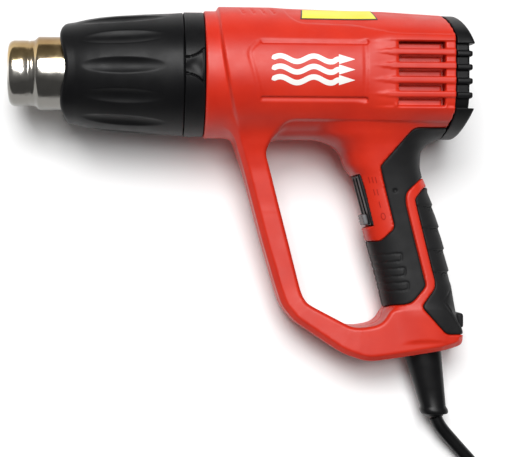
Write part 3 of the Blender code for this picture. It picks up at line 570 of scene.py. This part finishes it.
def bump(tree, source, distance, strength=1.0, normal=None):
    made = tree.nodes.new("ShaderNodeBump")
    made.inputs["Strength"].default_value = strength
    made.inputs["Distance"].default_value = distance
    tree.links.new(source, made.inputs["Height"])
    if normal is not None:
        tree.links.new(normal, made.inputs["Normal"])
    return made.outputs["Normal"]


def new_look(name):
    """An empty material: (material, node tree, its shader)."""
    made = bpy.data.materials.new(name)
    made.use_nodes = True
    return made, made.node_tree, made.node_tree.nodes["Principled BSDF"]


def moulded_look(name, dark, light, roughness, grain, grain_depth, gloss=0.5):
    """Textured moulding: cloudy colour, uneven sheen, a fine eroded grain and faint scuffs."""
    made, tree, shader = new_look(name)
    tree.links.new(ramp(tree, noise(tree, 45, 4), ((0.3, dark), (0.7, light))), shader.inputs["Base Color"])
    tree.links.new(spread(tree, noise(tree, 120, 5), *roughness), shader.inputs["Roughness"])
    fine = bump(tree, noise(tree, grain, 2, 0.6), grain_depth)
    scuffs = bump(tree, noise(tree, 300, 4, 0.6, (1, 6, 6)), 0.00002, 0.5, fine)
    tree.links.new(scuffs, shader.inputs["Normal"])
    shader.inputs["Specular IOR Level"].default_value = gloss
    return made


def metal_look(name, dark, light, roughness, along):
    """Drawn metal with fine lines along an axis, faint stains and uneven polish."""
    made, tree, shader = new_look(name)
    shader.inputs["Metallic"].default_value = 1.0
    tree.links.new(ramp(tree, noise(tree, 60, 4), ((0.3, dark), (0.7, light))), shader.inputs["Base Color"])
    tree.links.new(spread(tree, noise(tree, 90, 5), *roughness), shader.inputs["Roughness"])
    tree.links.new(bump(tree, noise(tree, 400, 3, 0.5, along), 0.00001), shader.inputs["Normal"])
    return made


def heat_tint_and_painted_reflection_steel():
    """The nozzle: bright steel that heat has turned straw and bronze, more so on its upper side, with painted
    light in its colour: a painted reflection band across its middle and painted shade darkening its lower
    side and its top.
    """
    made, tree, shader = new_look("heat_tint_and_painted_reflection_steel")
    shader.inputs["Metallic"].default_value = 1.0
    separate = tree.nodes.new("ShaderNodeSeparateXYZ")
    tree.links.new(coordinates(tree), separate.inputs["Vector"])
    # Height across the nozzle places the heat tint above, and also the painted reflection band and the
    # painted shade.
    height = tree.nodes.new("ShaderNodeMapRange")
    height.inputs["From Min"].default_value = 0.052
    height.inputs["From Max"].default_value = 0.096
    tree.links.new(separate.outputs["Y"], height.inputs["Value"])
    cloud = tree.nodes.new("ShaderNodeMath")
    cloud.operation = "MULTIPLY_ADD"
    cloud.inputs[1].default_value = 0.25
    tree.links.new(noise(tree, 70, 4), cloud.inputs[0])
    tree.links.new(height.outputs["Result"], cloud.inputs[2])
    # Painted light: the two dark grey low stops are painted shade, the bright 0.60 stop is a painted
    # reflection band, and the darkening of the straw and bronze stops towards the top is painted shade over
    # the heat tint.
    stops = ((0.15, (0.20, 0.195, 0.18)), (0.42, (0.27, 0.26, 0.24)), (0.60, (0.90, 0.86, 0.79)),
             (0.78, (0.64, 0.47, 0.24)), (1.0, (0.26, 0.15, 0.05)))
    tree.links.new(ramp(tree, cloud.outputs["Value"], stops), shader.inputs["Base Color"])
    tree.links.new(spread(tree, noise(tree, 200, 5), 0.12, 0.24), shader.inputs["Roughness"])
    tree.links.new(bump(tree, noise(tree, 500, 3, 0.5, (0.2, 1, 1)), 0.00001), shader.inputs["Normal"])
    return made


LOOKS = {
    "red_plastic": moulded_look("moulded_red", (0.55, 0.018, 0.005), (0.64, 0.027, 0.008), (0.38, 0.48), 2600,
                                0.00003, 0.38),
    "red_mark": moulded_look("moulded_red_mark", (0.36, 0.010, 0.004), (0.43, 0.014, 0.005),
                             (0.36, 0.46), 2600, 0.00003, 0.3),
    "black_plastic": moulded_look("moulded_black", (0.0040, 0.0040, 0.0045), (0.0075, 0.0075, 0.0080),
                                  (0.34, 0.44), 2400, 0.00003, 0.14),
    # The switch knob is black plastic; this grey is a painted highlight on its side.
    "knob_grey": moulded_look("black_knob_painted_highlight", (0.10, 0.10, 0.105), (0.15, 0.15, 0.155), (0.36, 0.48), 2400,
                              0.00002, 0.3),
    "black_rubber": moulded_look("soft_black", (0.0075, 0.0075, 0.0080), (0.0140, 0.0140, 0.0145),
                                 (0.48, 0.6), 2000, 0.00004, 0.20),
    "cord_rubber": moulded_look("cord_black", (0.0035, 0.0035, 0.0040), (0.0065, 0.0065, 0.0070),
                                (0.30, 0.42), 1500, 0.00002, 0.20),
    # The nozzle's base colour holds a painted reflection and painted shade besides its heat tint.
    "bright_steel": heat_tint_and_painted_reflection_steel(),
    "plain_steel": metal_look("plain_steel", (0.50, 0.50, 0.50), (0.64, 0.63, 0.61), (0.16, 0.3),
                              (0.2, 1, 1)),
    "dark_steel": metal_look("zinc_steel", (0.22, 0.22, 0.23), (0.34, 0.34, 0.33), (0.3, 0.45), (1, 1, 0.3)),
    "copper": metal_look("wound_copper", (0.62, 0.25, 0.12), (0.78, 0.38, 0.20), (0.3, 0.42), (0.1, 1, 1)),
    "bronze": metal_look("sintered_bronze", (0.42, 0.30, 0.13), (0.55, 0.40, 0.19), (0.36, 0.5), (1, 1, 1)),
    "magnet": moulded_look("ferrite", (0.05, 0.05, 0.055), (0.08, 0.08, 0.085), (0.5, 0.65), 1800, 0.00003),
    "mica": moulded_look("mica_sheet", (0.45, 0.38, 0.26), (0.60, 0.53, 0.40), (0.4, 0.6), 500, 0.00004),
    "board_green": moulded_look("circuit_board", (0.02, 0.13, 0.05), (0.03, 0.19, 0.08), (0.35, 0.5), 900,
                                0.00002),
    "label_yellow": moulded_look("label_film", (0.82, 0.70, 0.02), (0.88, 0.78, 0.04), (0.3, 0.42), 1500,
                                 0.00001),
    "label_black": moulded_look("label_print", (0.012, 0.012, 0.012), (0.02, 0.02, 0.02), (0.35, 0.5), 1500,
                                0.00001),
    "print_white": moulded_look("white_print", (0.78, 0.77, 0.74), (0.86, 0.85, 0.82), (0.38, 0.5), 2000,
                                0.00002),
    "white_plastic": moulded_look("white_moulding", (0.66, 0.65, 0.61), (0.78, 0.77, 0.73), (0.4, 0.55), 1500,
                                  0.00002),
    "brown_wire": moulded_look("brown_sleeve", (0.13, 0.05, 0.02), (0.19, 0.08, 0.03), (0.4, 0.55), 1200,
                               0.00002),
    "blue_wire": moulded_look("blue_sleeve", (0.015, 0.07, 0.35), (0.025, 0.11, 0.46), (0.4, 0.55), 1200,
                              0.00002),
}


def dress(obj, look, body, *nodes):
    """Gives a piece its look, the body it rides on and the CAD nodes it stands for."""
    obj.data.materials.clear()
    obj.data.materials.append(LOOKS[look])
    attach(obj, body)
    if nodes:
        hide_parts(*nodes)
    return obj


# ---------------------------------------------------------------- camera, light and floor

def build_camera():
    """Looks at the gun's left side, a little from the nozzle's side, as high as the loop's middle."""
    centre = Vector((28.4, -83.7, 0))
    lean = math.radians(5)
    out = Vector((-math.sin(lean), 0, math.cos(lean)))
    eye = centre + out * 806
    right = Vector((0, 1, 0)).cross(out).normalized()
    up = out.cross(right)
    turn = Matrix((right, up, out)).transposed().to_4x4()
    data = bpy.data.cameras.new("camera")
    data.lens = 104.0
    data.sensor_width = 36
    data.clip_end = 20
    data.dof.use_dof = False
    camera = bpy.data.objects.new("camera", data)
    bpy.context.scene.collection.objects.link(camera)
    tilt = Matrix.Rotation(TILT, 4, "X")
    camera.matrix_world = Matrix.Translation(GUN @ eye) @ tilt @ turn
    bpy.context.scene.camera = camera


SKY_STRENGTH = 0.15
KEY_WATTS = 182
FRONT_WATTS = 88
LIGHT_AIM = (0, 0.0, 0.03)


def area_light(name, place, aim, size, power):
    data = bpy.data.lights.new(name, "AREA")
    data.shape = "RECTANGLE"
    data.size, data.size_y = size
    data.energy = power
    light = bpy.data.objects.new(name, data)
    bpy.context.scene.collection.objects.link(light)
    light.location = place
    light.rotation_euler = (Vector(aim) - Vector(place)).to_track_quat("-Z", "Y").to_euler()


def build_studio():
    world = bpy.data.worlds.new("studio")
    world.use_nodes = True
    sky = world.node_tree.nodes["Background"]
    sky.inputs["Color"].default_value = (1, 1, 1, 1)
    sky.inputs["Strength"].default_value = SKY_STRENGTH
    bpy.context.scene.world = world
    area_light("key", (-0.5, 1.7, 4.3), LIGHT_AIM, (2.6, 1.8), KEY_WATTS)
    area_light("front", (0.2, 0.2, 4.8), LIGHT_AIM, (1.6, 1.6), FRONT_WATTS)
    made, tree, shader = new_look("floor")
    tree.links.new(ramp(tree, noise(tree, 6, 3), ((0.3, (0.90, 0.90, 0.90)), (0.7, (0.93, 0.93, 0.93)))),
                   shader.inputs["Base Color"])
    shader.inputs["Roughness"].default_value = 0.9
    shader.inputs["Specular IOR Level"].default_value = 0.1
    bpy.ops.mesh.primitive_plane_add(size=8, location=(0, 0, -0.0002))
    floor = bpy.context.active_object
    floor.name = "floor"
    floor.data.materials.append(made)
    settings = bpy.context.scene.view_settings
    settings.view_transform = "Standard"
    settings.exposure = 0.0


# ---------------------------------------------------------------- free cord

def catmull(points, per_span=12):
    """Points along a smooth curve through a route's own points."""
    knots = [Vector(p) for p in points]
    knots = [2 * knots[0] - knots[1]] + knots + [2 * knots[-1] - knots[-2]]
    made = []
    for a, b, c, d in zip(knots, knots[1:], knots[2:], knots[3:]):
        for i in range(per_span):
            t = i / per_span
            made.append(0.5 * (2 * b + (c - a) * t + (2 * a - 5 * b + 4 * c - d) * t ** 2
                               + (3 * b - a - 3 * c + d) * t ** 3))
    made.append(knots[-2])
    return made


def coil_points():
    """The coil from its right side, clockwise: six turns, then off over the others at its front."""
    made = []
    steps = 60
    for number, (radius, height) in enumerate(COIL_TURNS):
        next_radius, next_height = COIL_TURNS[min(number + 1, len(COIL_TURNS) - 1)]
        for i in range(steps):
            share = float(smoothstep(0.86, 1.0, i / steps))
            angle = -2 * math.pi * i / steps
            r = radius + share * (next_radius - radius)
            z = height + share * (next_height - height)
            made.append(Vector((COIL_CENTRE[0] + r * math.cos(angle),
                                COIL_CENTRE[1] + r * math.sin(angle), z)))
    for i in range(19):
        share = i / 18
        angle = -math.pi / 2 * share
        r = 42 + 15.2 * float(smoothstep(0.02, 0.85, share))
        z = 3.9 + 13.6 * (1 - float(smoothstep(0.38, 1.0, share)))
        z = z if share > 0.1 else 16.4 + 1.1 * share / 0.1
        made.append(Vector((COIL_CENTRE[0] + r * math.cos(angle), COIL_CENTRE[1] + r * math.sin(angle), z)))
    return made


def cord_curve(name, points, radius):
    data = bpy.data.curves.new(name, "CURVE")
    data.dimensions = "3D"
    data.bevel_depth = radius * MM
    data.bevel_resolution = 6
    data.use_fill_caps = True
    line = data.splines.new("POLY")
    line.points.add(len(points) - 1)
    for vertex, point in zip(line.points, points):
        vertex.co = (*(point * MM), 1)
    line.use_smooth = True
    made = bpy.data.objects.new(name, data)
    bpy.context.scene.collection.objects.link(made)
    return made


def build_plug():
    """A moulded two-pin plug with a ribbed tail, and its two pins."""
    stations = ((0, 4.4, 4.2), (0.8, 5.0, 4.6), (12, 6.0, 5.2), (20, 9.0, 6.3), (27, 15.0, 8.0),
                (30, 16.6, 8.4),
                (40, 17.4, 8.5), (42.2, 17.1, 8.3), (43, 16.2, 7.6))
    places = np.linspace(0, 43, 87)
    rings = []
    for along in places:
        half_y, half_z = (float(np.interp(along, [s[0] for s in stations], [s[k] for s in stations]))
                          for k in (1, 2))
        pinch = 0.5 * (1 - math.cos(2 * math.pi * along / 3)) * 0.5 if along < 15 else 0.0
        angles = np.linspace(0, 2 * math.pi, 48, endpoint=False)
        cos, sin = np.cos(angles), np.sin(angles)
        y = (half_y - pinch) * np.sign(cos) * np.abs(cos) ** 0.8
        z = (half_z - pinch) * np.sign(sin) * np.abs(sin) ** 0.8
        rings.append(np.stack((np.full(48, -along), y, z), axis=-1) + PLUG_START)
    body = dress(lofted("plug_moulding", rings, BENCH), "cord_rubber", "root", "plug_body")
    pieces = [body]
    for number, side in enumerate((1, -1), start=1):
        rings = []
        for along, radius in ((42.9, 2.2), (43.4, 2.4), (60.4, 2.4), (61.6, 1.9), (62.2, 1.0)):
            angles = np.linspace(0, 2 * math.pi, 24, endpoint=False)
            rings.append(np.stack((np.full(24, -along), radius * np.cos(angles) + side * 9.5,
                                   radius * np.sin(angles)), axis=-1) + PLUG_START)
        pin = creased(lofted(f"pin_{number}", rings, BENCH))
        pieces.append(dress(pin, "plain_steel", "root", f"plug_pin_{number}"))
    return pieces


def build_tie():
    """A reusable strap round the coil's section at its left side."""
    section = rounded(((30.9, 0.35), (53.1, 0.35), (53.1, 7.9), (46.0, 20.5), (38.0, 20.5), (30.9, 7.9)), 4)
    outer = [Vector(p) for p in section]
    middle = sum(outer, Vector((0, 0))) / len(outer)
    rings = []
    for y, shrink in ((-2.5, 0.3), (-2.3, 0.0), (2.3, 0.0), (2.5, 0.3), (2.5, 0.45), (-2.5, 0.45)):
        ring = []
        for p in outer:
            q = p + (middle - p).normalized() * shrink
            ring.append((COIL_CENTRE[0] - q.x, COIL_CENTRE[1] + y, q.y))
        rings.append(ring)
    return dress(creased(lofted("strap", rings, BENCH, closed=True)), "black_plastic", "root", "cord_tie")


def build_cord():
    route = catmull(CORD_ROUTE + ((145.6, -177, 4.2), (145.9, -190, 4.3)))
    points = route[:-1] + coil_points()[1:] + catmull(TAIL_ROUTE)[1:]
    line = cord_curve("mains_cord", points, CORD_RADIUS)
    line.data.materials.append(LOOKS["cord_rubber"])
    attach(line, "root")
    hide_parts("power_cord", "cord_coil", "cord_tail")
    with_pieces = build_plug() + [build_tie()]


# ---------------------------------------------------------------- casing

def build_casing(step):
    axes = lattice((-1.2, -158, -0.9), (143.4, 38.5, 38.4), step)
    body = Body(axes)
    for right, word in ((False, "left"), (True, "right")):
        half = moulded(f"casing_{word}", casing_field(body, right), axes, mirror=right)
        dress(half, "red_plastic", "root", f"housing_{word}")


def pad_relief(x, y):
    """Grooves on the grip pad seen from the side: three finger outlines and a small dimple."""
    relief = 0.9 * (1 - smoothstep(0.5, 1.4, np.hypot(x - 102.8, y + 63.2)))
    for end, height in ((106.5, -99.2), (108.3, -107.0), (110.1, -114.7)):
        level = y - height - 0.09 * (x - end)
        across = np.maximum(np.abs(x - (end + 78) / 2) - (end - 78) / 2 + 1.2, 0)
        ring = np.abs(np.hypot(across, np.maximum(np.abs(level) - 0.9, 0)) - 1.2)
        relief = relief + 0.45 * (1 - smoothstep(0.25, 0.65, ring)) * smoothstep(90, 95, x)
    return relief


def rear_pad_relief(x, y):
    """Four shallow steps down the rear pad's back, and a chevron near its foot."""
    middle = eased([s[0] for s in GRIP_SECTIONS], [(s[1] + s[2]) / 2 for s in GRIP_SECTIONS], y)
    share = np.mod((-58.7 - y) / 12.0, 1.0)
    step = 1.0 * (1 - share) * smoothstep(0.0, 0.08, share)
    relief = step * smoothstep(7, 13, x - middle) * (1 - smoothstep(112, 116, -y)) * smoothstep(62, 64, -y)
    chevron = line_distance(((134, -118), (129.8, -123.2), (133.5, -128.5)), x, y)
    return relief + 0.45 * (1 - smoothstep(0.25, 0.65, chevron))


def build_pads(step):
    axes = x, y, z = lattice((77, -143, -0.9), (143.4, -27, 30), step)
    body = Body(axes, relief=False)
    flat_x, flat_y = x[:, :, 0], y[:, :, 0]
    foot_bump = np.hypot(np.maximum(np.abs(y + 134.2) - 2.6, 0), np.maximum(np.abs(z) - 6.3, 0)) - 1.6
    foot_bump = common(np.maximum(foot_bump, 134 - x), x - 142.8, 2.2)
    for outline, relief, name in ((GRIP_PAD_OUTLINE, pad_relief, "grip_pad"),
                                  (REAR_PAD_OUTLINE, rear_pad_relief, "rear_pad")):
        flat = outline_distance(rounded(outline, 3.0), flat_x, flat_y)[:, :, None]
        top = body.field + relief(flat_x, flat_y)[:, :, None]
        pad = np.maximum(common(top, flat, 0.9), -(body.field + 1.5))
        if name == "rear_pad":
            pad = union(pad, foot_bump, 1.0)
        pad = np.maximum(pad, 0.15 - z)
        for right, word in ((False, "left"), (True, "right")):
            skin_half = moulded(f"{name}_skin_{word}", pad, axes, mirror=right)
            dress(skin_half, "black_rubber", "root", f"{name}_{word}")


def build_cap(step):
    """The rear cap: full wings above and below, and four ribs that wrap round an open grille."""
    axes = x, y, z = lattice((126.6, -35.6, -37.8), (143.4, 34.2, 37.8), step)
    tube = np.sqrt(y * y + z * z) - barrel_radius(np.minimum(x, BARREL_REAR), y, z)
    band = np.abs(y + 2.75) - 16.9
    back = (x - 142.7 + 0.33 * np.maximum(band, 0)) / math.hypot(1, 0.33)
    wings = common(np.maximum(common(tube + 0.1, back, 1.4), -band), -band, 0.6)
    cap = union(wings, common(tube + 2.5, x - 139.8, 0.8))
    for height in (9.0, 1.8, -5.6, -13.1):
        rib = common(np.abs(y - height) - 1.6, common(tube + 0.4, x - 141.2, 1.2), 1.1)
        cap = union(cap, rib)
    cap = np.maximum(cap, 0.3 - behind_seam(x, y))
    cap = union(cap, np.maximum(tube + 3.4, np.abs(x - 131.5) - 3.9))
    cap = np.maximum(cap, -np.maximum(tube + 5.2, x - 138.6))
    for height in (12.7, 5.4, -1.9, -9.35, -16.8):
        slot = np.maximum(np.abs(y - height) - 1.75, np.abs(z) - 27)
        cap = common(cap, -np.maximum(slot, 137.5 - x))
    dress(moulded("rear_grille", cap, axes), "black_plastic", "root", "rear_cap")


def turned_rings(profile, count, shape=None):
    """Rings round the X axis for each (x, radius), every point moved by shape(x, radius, angle)."""
    angles = np.linspace(0, 2 * math.pi, count, endpoint=False)
    rings = []
    for x, radius in profile:
        here, reach = np.full(count, float(x)), np.full(count, float(radius))
        if shape is not None:
            here, reach = shape(here, reach, angles)
        rings.append(np.stack((here, reach * np.sin(angles), reach * np.cos(angles)), axis=-1))
    return rings


def guard_shape(x, radius, angle):
    """Twelve long finger flutes, and a front edge that waves four times round."""
    phase = math.radians(3.3)
    nearest = np.mod(angle - phase + math.pi / 12, math.pi / 6) - math.pi / 12
    outside = radius > 26.6 + 0.09 * (x + 74)
    inside = 1 - ((x + 43.3) / 21.8) ** 2 - (nearest * radius / 4.3) ** 2
    depth = 0.75 * (inside + np.sqrt(inside ** 2 + 0.012)) * smoothstep(-0.3, 0.1, inside)
    radius = radius - np.where(outside & (x > -70), depth, 0)
    wave = 2.8 * (0.5 + 0.5 * np.cos(4 * (angle - phase)))
    return x + wave * (1 - smoothstep(-76.7, -62, x)), radius


def build_guard():
    outer = ((-75.4, 27.0), (-70, 27.7), (-62, 29.3), (-55.6, 30.4), (-47, 31.3), (-32, 32.3), (-17, 33.0),
             (-11.9, 33.4))
    places = np.linspace(-74.8, -11.9, 170)
    profile = [(-73.6, 22.0), (-74.6, 21.4), (-75.8, 21.6), (-76.5, 22.6), (-76.7, 24), (-76.7, 25.4),
               (-76.4, 26.2), (-75.8, 26.8)]
    profile += [(x, float(eased([p[0] for p in outer], [p[1] for p in outer], x))) for x in places]
    profile += [(-11.5, 33.2), (-11.3, 32.9), (-11.3, 30.5), (-20.4, 30.5), (-21, 29.7), (-47, 28.3),
                (-62, 26.4),
                (-72.6, 24.4)]
    guard = lofted("fluted_guard", turned_rings(profile, 432, guard_shape), closed=True)
    dress(creased(guard, 50), "black_plastic", "guard", "heat_guard")


def collar_shape(x, radius, angle):
    """A thumb catch on the left side, waisted like an hourglass between two grooves."""
    side = np.abs(np.mod(angle - math.radians(2.9) + math.pi, 2 * math.pi) - math.pi) * radius
    edge = 4.4 + 4.5 * np.clip((x + 11) / 9.6, 0, 1) ** 2.4
    outside = radius > 33.0
    groove = 0.9 * (1 - smoothstep(0.25, 0.7, np.abs(side - edge)))
    dish = 0.9 * (1 - smoothstep(0.0, 1.0, side / edge)) * np.sin(np.clip((x + 11) / 9.6, 0, 1) * math.pi)
    gap = 0.9 * (1 - smoothstep(0.2, 0.55, np.abs(x + 1.2))) * (side < edge)
    return x, radius - np.where(outside, np.maximum(np.maximum(groove, gap), dish), 0)


def build_collar():
    profile = [(-11, 30), (-11, 33.0), (-10.8, 33.5)]
    profile += [(x, 33.7) for x in np.linspace(-10.6, -0.7, 42)]
    profile += [(-0.4, 33.5), (-0.3, 33.2), (-0.3, 24.2), (2.6, 24.2), (2.6, 20.4), (-4.5, 20.4),
                (-4.5, 27.2),
                (-19.8, 27.2), (-19.8, 30)]
    ring = lofted("catch_ring", turned_rings(profile, 480, collar_shape), closed=True)
    dress(creased(ring, 50), "black_plastic", "root", "front_collar")


def build_nozzle():
    """Rolled steel tube: a turned-in rim, a slip-on seat, a bead and the wider barrel."""
    profile = [(-103.9, 13.8), (-104.5, 13.9), (-104.7, 14.3), (-104.6, 14.9)]
    profile += [(-101.1 - 3.5 * math.sin(t), 14.6 + 3.1 * math.cos(t)) for t in np.linspace(1.35, 0.05, 10)]
    profile += [(-98, 17.7), (-94.2, 17.7), (-93.9, 17.45), (-93.3, 17.4), (-92.9, 17.65), (-91.6, 17.7)]
    profile += [(-91.3 + 3.2 * t, 17.75 + 2.05 * float(smoothstep(0, 1, t))) for t in np.linspace(0, 1, 8)]
    profile += [(-86, 19.8), (-60, 19.8), (3.1, 19.8), (3.1, 28.5), (4.3, 28.5), (4.3, 19.0), (-60, 19.0),
                (-88.2, 19.0), (-90.9, 16.9), (-100.8, 16.9), (-102.9, 15.8)]
    tube = lofted("steel_nozzle", turned_rings(profile, 160), closed=True)
    dress(creased(tube, 50), "bright_steel", "root", "nozzle")


def build_boot():
    """Strain relief: a soft cone that ends in a bead."""
    stations = ((-142.4, 12.6, 10.2), (-145.0, 12.4, 10.0), (-145.6, 10.4, 7.9), (-152, 10.5, 8.0),
                (-160, 9.5, 7.5), (-172, 8.1, 6.8), (-181.6, 7.0, 6.3), (-182.6, 7.3, 6.6),
                (-183.4, 7.7, 6.9),
                (-185.0, 7.7, 6.9), (-185.8, 7.2, 6.5), (-186, 6.4, 5.8), (-186, 5.2, 4.9),
                (-187.2, 4.3, 4.1),
                (-187.6, 3.4, 3.3))
    angles = np.linspace(0, 2 * math.pi, 64, endpoint=False)
    cos, sin = np.cos(angles), np.sin(angles)
    rings = []
    for height, half_x, half_z in stations:
        share = (height - BOOT_TOP[1]) / (BOOT_END[1] - BOOT_TOP[1])
        centre = BOOT_TOP[0] + share * (BOOT_END[0] - BOOT_TOP[0])
        power = 0.86
        rings.append(np.stack((centre + half_x * np.sign(cos) * np.abs(cos) ** power, np.full(64, height),
                               half_z * np.sign(sin) * np.abs(sin) ** power), axis=-1))
    dress(creased(lofted("boot", rings), 40), "cord_rubber", "root", "strain_relief")


def build_switch(step):
    """The switch's dished plate with its slot, and the ribbed knob that slides in it."""
    axes = x, y, z = lattice((76, -88, -15), (100, -49, 15), step)
    plate = common(switch_cut(x, y, z, (28.4, 24.0), -2.0, 4), switch_cut(x, y, z, (60, 60), -9, 0.1), 0.8)
    dish = switch_cut(x, y, z, (26.4, 16.6), -0.5, 9)
    slot = switch_cut(x, y, z, (25.4, 4.6), -9, 9)
    plate = common(plate, -union(dish, slot))
    dress(moulded("switch_plate", plate, axes), "black_plastic", "root", "switch_bezel")
    middle = SWITCH_CENTRE - SWITCH_UP * 10.25
    axes = x, y, z = lattice((middle.x - 9, middle.y - 8, -8), (middle.x + 12, middle.y + 8, 8), step * 0.6)
    along = (x - middle.x) * SWITCH_UP.x + (y - middle.y) * SWITCH_UP.y
    out = (x - SWITCH_CENTRE.x) * SWITCH_OUT.x + (y - SWITCH_CENTRE.y) * SWITCH_OUT.y
    knob = common(common(np.abs(along) - 3.0, np.abs(z) - 7.0, 1.2), common(out - 3.1, 0.3 - out), 0.9)
    for place in (-1.6, 0.0, 1.6):
        knob = common(knob, 0.5 - np.hypot(along - place, (out - 3.3) * 0.9))
    stem = switch_cut(x + SWITCH_UP.x * 10.25, y + SWITCH_UP.y * 10.25, z, (4.0, 3.4), -7.0, 1.0)
    # The knob's grey look is a painted highlight on black plastic.
    dress(moulded("switch_knob", union(knob, stem), axes), "knob_grey", "slider", "switch_slider")


def on_barrel(x, y, rise):
    """The point of the barrel's left side at (x, y), raised off the skin."""
    reach = math.sqrt(max(36.9 ** 2 - y * y, 1.0))
    radius = float(barrel_radius(np.array(float(x)), np.array(float(y)), np.array(reach))) + rise
    return x, y, math.sqrt(max(radius ** 2 - y * y, 0.0))


def ribbon(name, centres, halves, surface, thickness=0.3, rise=0.1):
    """A thin strip along centres (x, y), with its half width at each, laid on a surface(x, y, rise)."""
    rings = []
    for i, ((x, y), half) in enumerate(zip(centres, halves)):
        ahead = Vector(centres[min(i + 1, len(centres) - 1)]) - Vector(centres[max(i - 1, 0)])
        across = Vector((-ahead.y, ahead.x)).normalized()
        places = [Vector((x, y)) + across * (half * share) for share in (-1, -0.5, 0, 0.5, 1)]
        top = [surface(p.x, p.y, rise) for p in places]
        under = [surface(p.x, p.y, rise - thickness) for p in reversed(places)]
        rings.append(top + under)
    return creased(lofted(name, rings))


def build_mark():
    """A generic hot-air sign in place of a name: three waves of air, each with a pointed end."""
    start, neck, end = 34.0, 69.5, 78.0
    xs = np.concatenate((np.linspace(start, neck - 0.05, 72), np.linspace(neck, end, 24)))
    for number, height in enumerate((5.2, -0.3, -5.8), start=1):
        calm = 1 - smoothstep(neck - 3, neck, xs)
        swing = 1.5 * np.sin((xs - start) / (neck - start) * 4 * math.pi) * calm
        centres = [(float(x), float(y)) for x, y in zip(xs, height + swing)]
        stroke = 1.35 * smoothstep(start - 0.4, start + 1.2, xs) + 0.05
        point = 2.6 * (end - xs) / (end - neck) + 0.03
        halves = [float(half) for half in np.where(xs < neck, stroke, point)]
        strip = ribbon(f"air_wave_{number}", centres, halves, on_barrel)
        dress(strip, "print_white", "root")


def on_grip(x, y, rise):
    """The point of the grip's left side at (x, y), raised off the skin."""
    heights = [section[0] for section in GRIP_SECTIONS]
    here = np.array(float(y))
    front, rear, half = (float(eased(heights, [section[k] for section in GRIP_SECTIONS], here, 5.0))
                         for k in (1, 2, 3))
    across = abs(x - (front + rear) / 2) / ((rear - front) / 2)
    return x, y, half * max(1 - across ** 2.6, 0.0) ** (1 / 2.6) + rise


def build_switch_marks():
    """Speed marks beside the switch: three bars, two, one and a nought, moulded a little proud."""
    number = 0
    for bars, (x, y) in ((3, (90.6, -57.5)), (2, (92.5, -64.1)), (1, (94.6, -70.7))):
        for k in range(bars):
            number += 1
            middle = Vector((x + (k - (bars - 1) / 2) * 1.75, y))
            ends = [middle + Vector((SWITCH_UP.x, SWITCH_UP.y)) * share
                    for share in (-1.7, -0.8, 0, 0.8, 1.7)]
            strip = ribbon(f"speed_bar_{number}", [tuple(p) for p in ends], [0.27] * 5, on_grip, 0.8, 0.16)
            dress(strip, "red_mark", "root")
    ring = []
    for t in np.linspace(0, 2 * math.pi, 25):
        up, out = 1.75 * math.cos(t), 1.05 * math.sin(t)
        ring.append((96.5 + up * SWITCH_UP.x + out * 0.96, -77.1 + up * SWITCH_UP.y + out * 0.26))
    dress(ribbon("nought", ring, [0.27] * 25, on_grip, 0.8, 0.16), "red_mark", "root")


def on_top_panel(x, y, rise):
    """The point of the sunk panel on the barrel's upper left side at (x, y), raised off its skin."""
    sunk = 0.5 * float(smoothstep(10, 16, on_barrel(x, y, 0)[2]))
    return on_barrel(x, y, rise - sunk)


def build_label():
    """The instruction label, left blank: a yellow film with a black edge, on the barrel's upper left side."""
    for name, look, (left, right), (low, high), rise in (
            ("label_edge", "label_black", (50.6, 92.2), (27.8, 34.4), 0.12),
            ("label_film", "label_yellow", (51.5, 91.4), (28.5, 34.5), 0.22)):
        rings = []
        for share in np.linspace(0, 1, 40):
            top, under = [], []
            for y in np.linspace(low, high, 9):
                lean = 0.25 * (y - low)
                x = (left + lean) * (1 - share) + (right - lean) * share
                top.append(on_top_panel(x, float(y), rise))
                under.append(on_top_panel(x, float(y), rise - 0.3))
            rings.append(top + under[::-1])
        nodes = ("top_label",) if name == "label_edge" else ()
        dress(creased(lofted(name, rings)), look, "root", *nodes)


def dress_parts():
    """Gives every CAD node that still shows its own slot's look."""
    slots = {part["node"]: part["material_slot"] for part in frame["record"]["subparts"]}
    for name, node in frame["nodes"].items():
        node.data.materials.clear()
        node.data.materials.append(LOOKS[slots[name]])


build_camera()
build_cord()
build_studio()
STEP = 0.6
build_casing(STEP)
build_pads(STEP * 0.85)
build_cap(STEP * 0.7)
build_guard()
build_collar()
build_nozzle()
build_boot()
build_switch(STEP * 0.7)
build_mark()
build_switch_marks()
build_label()
dress_parts()
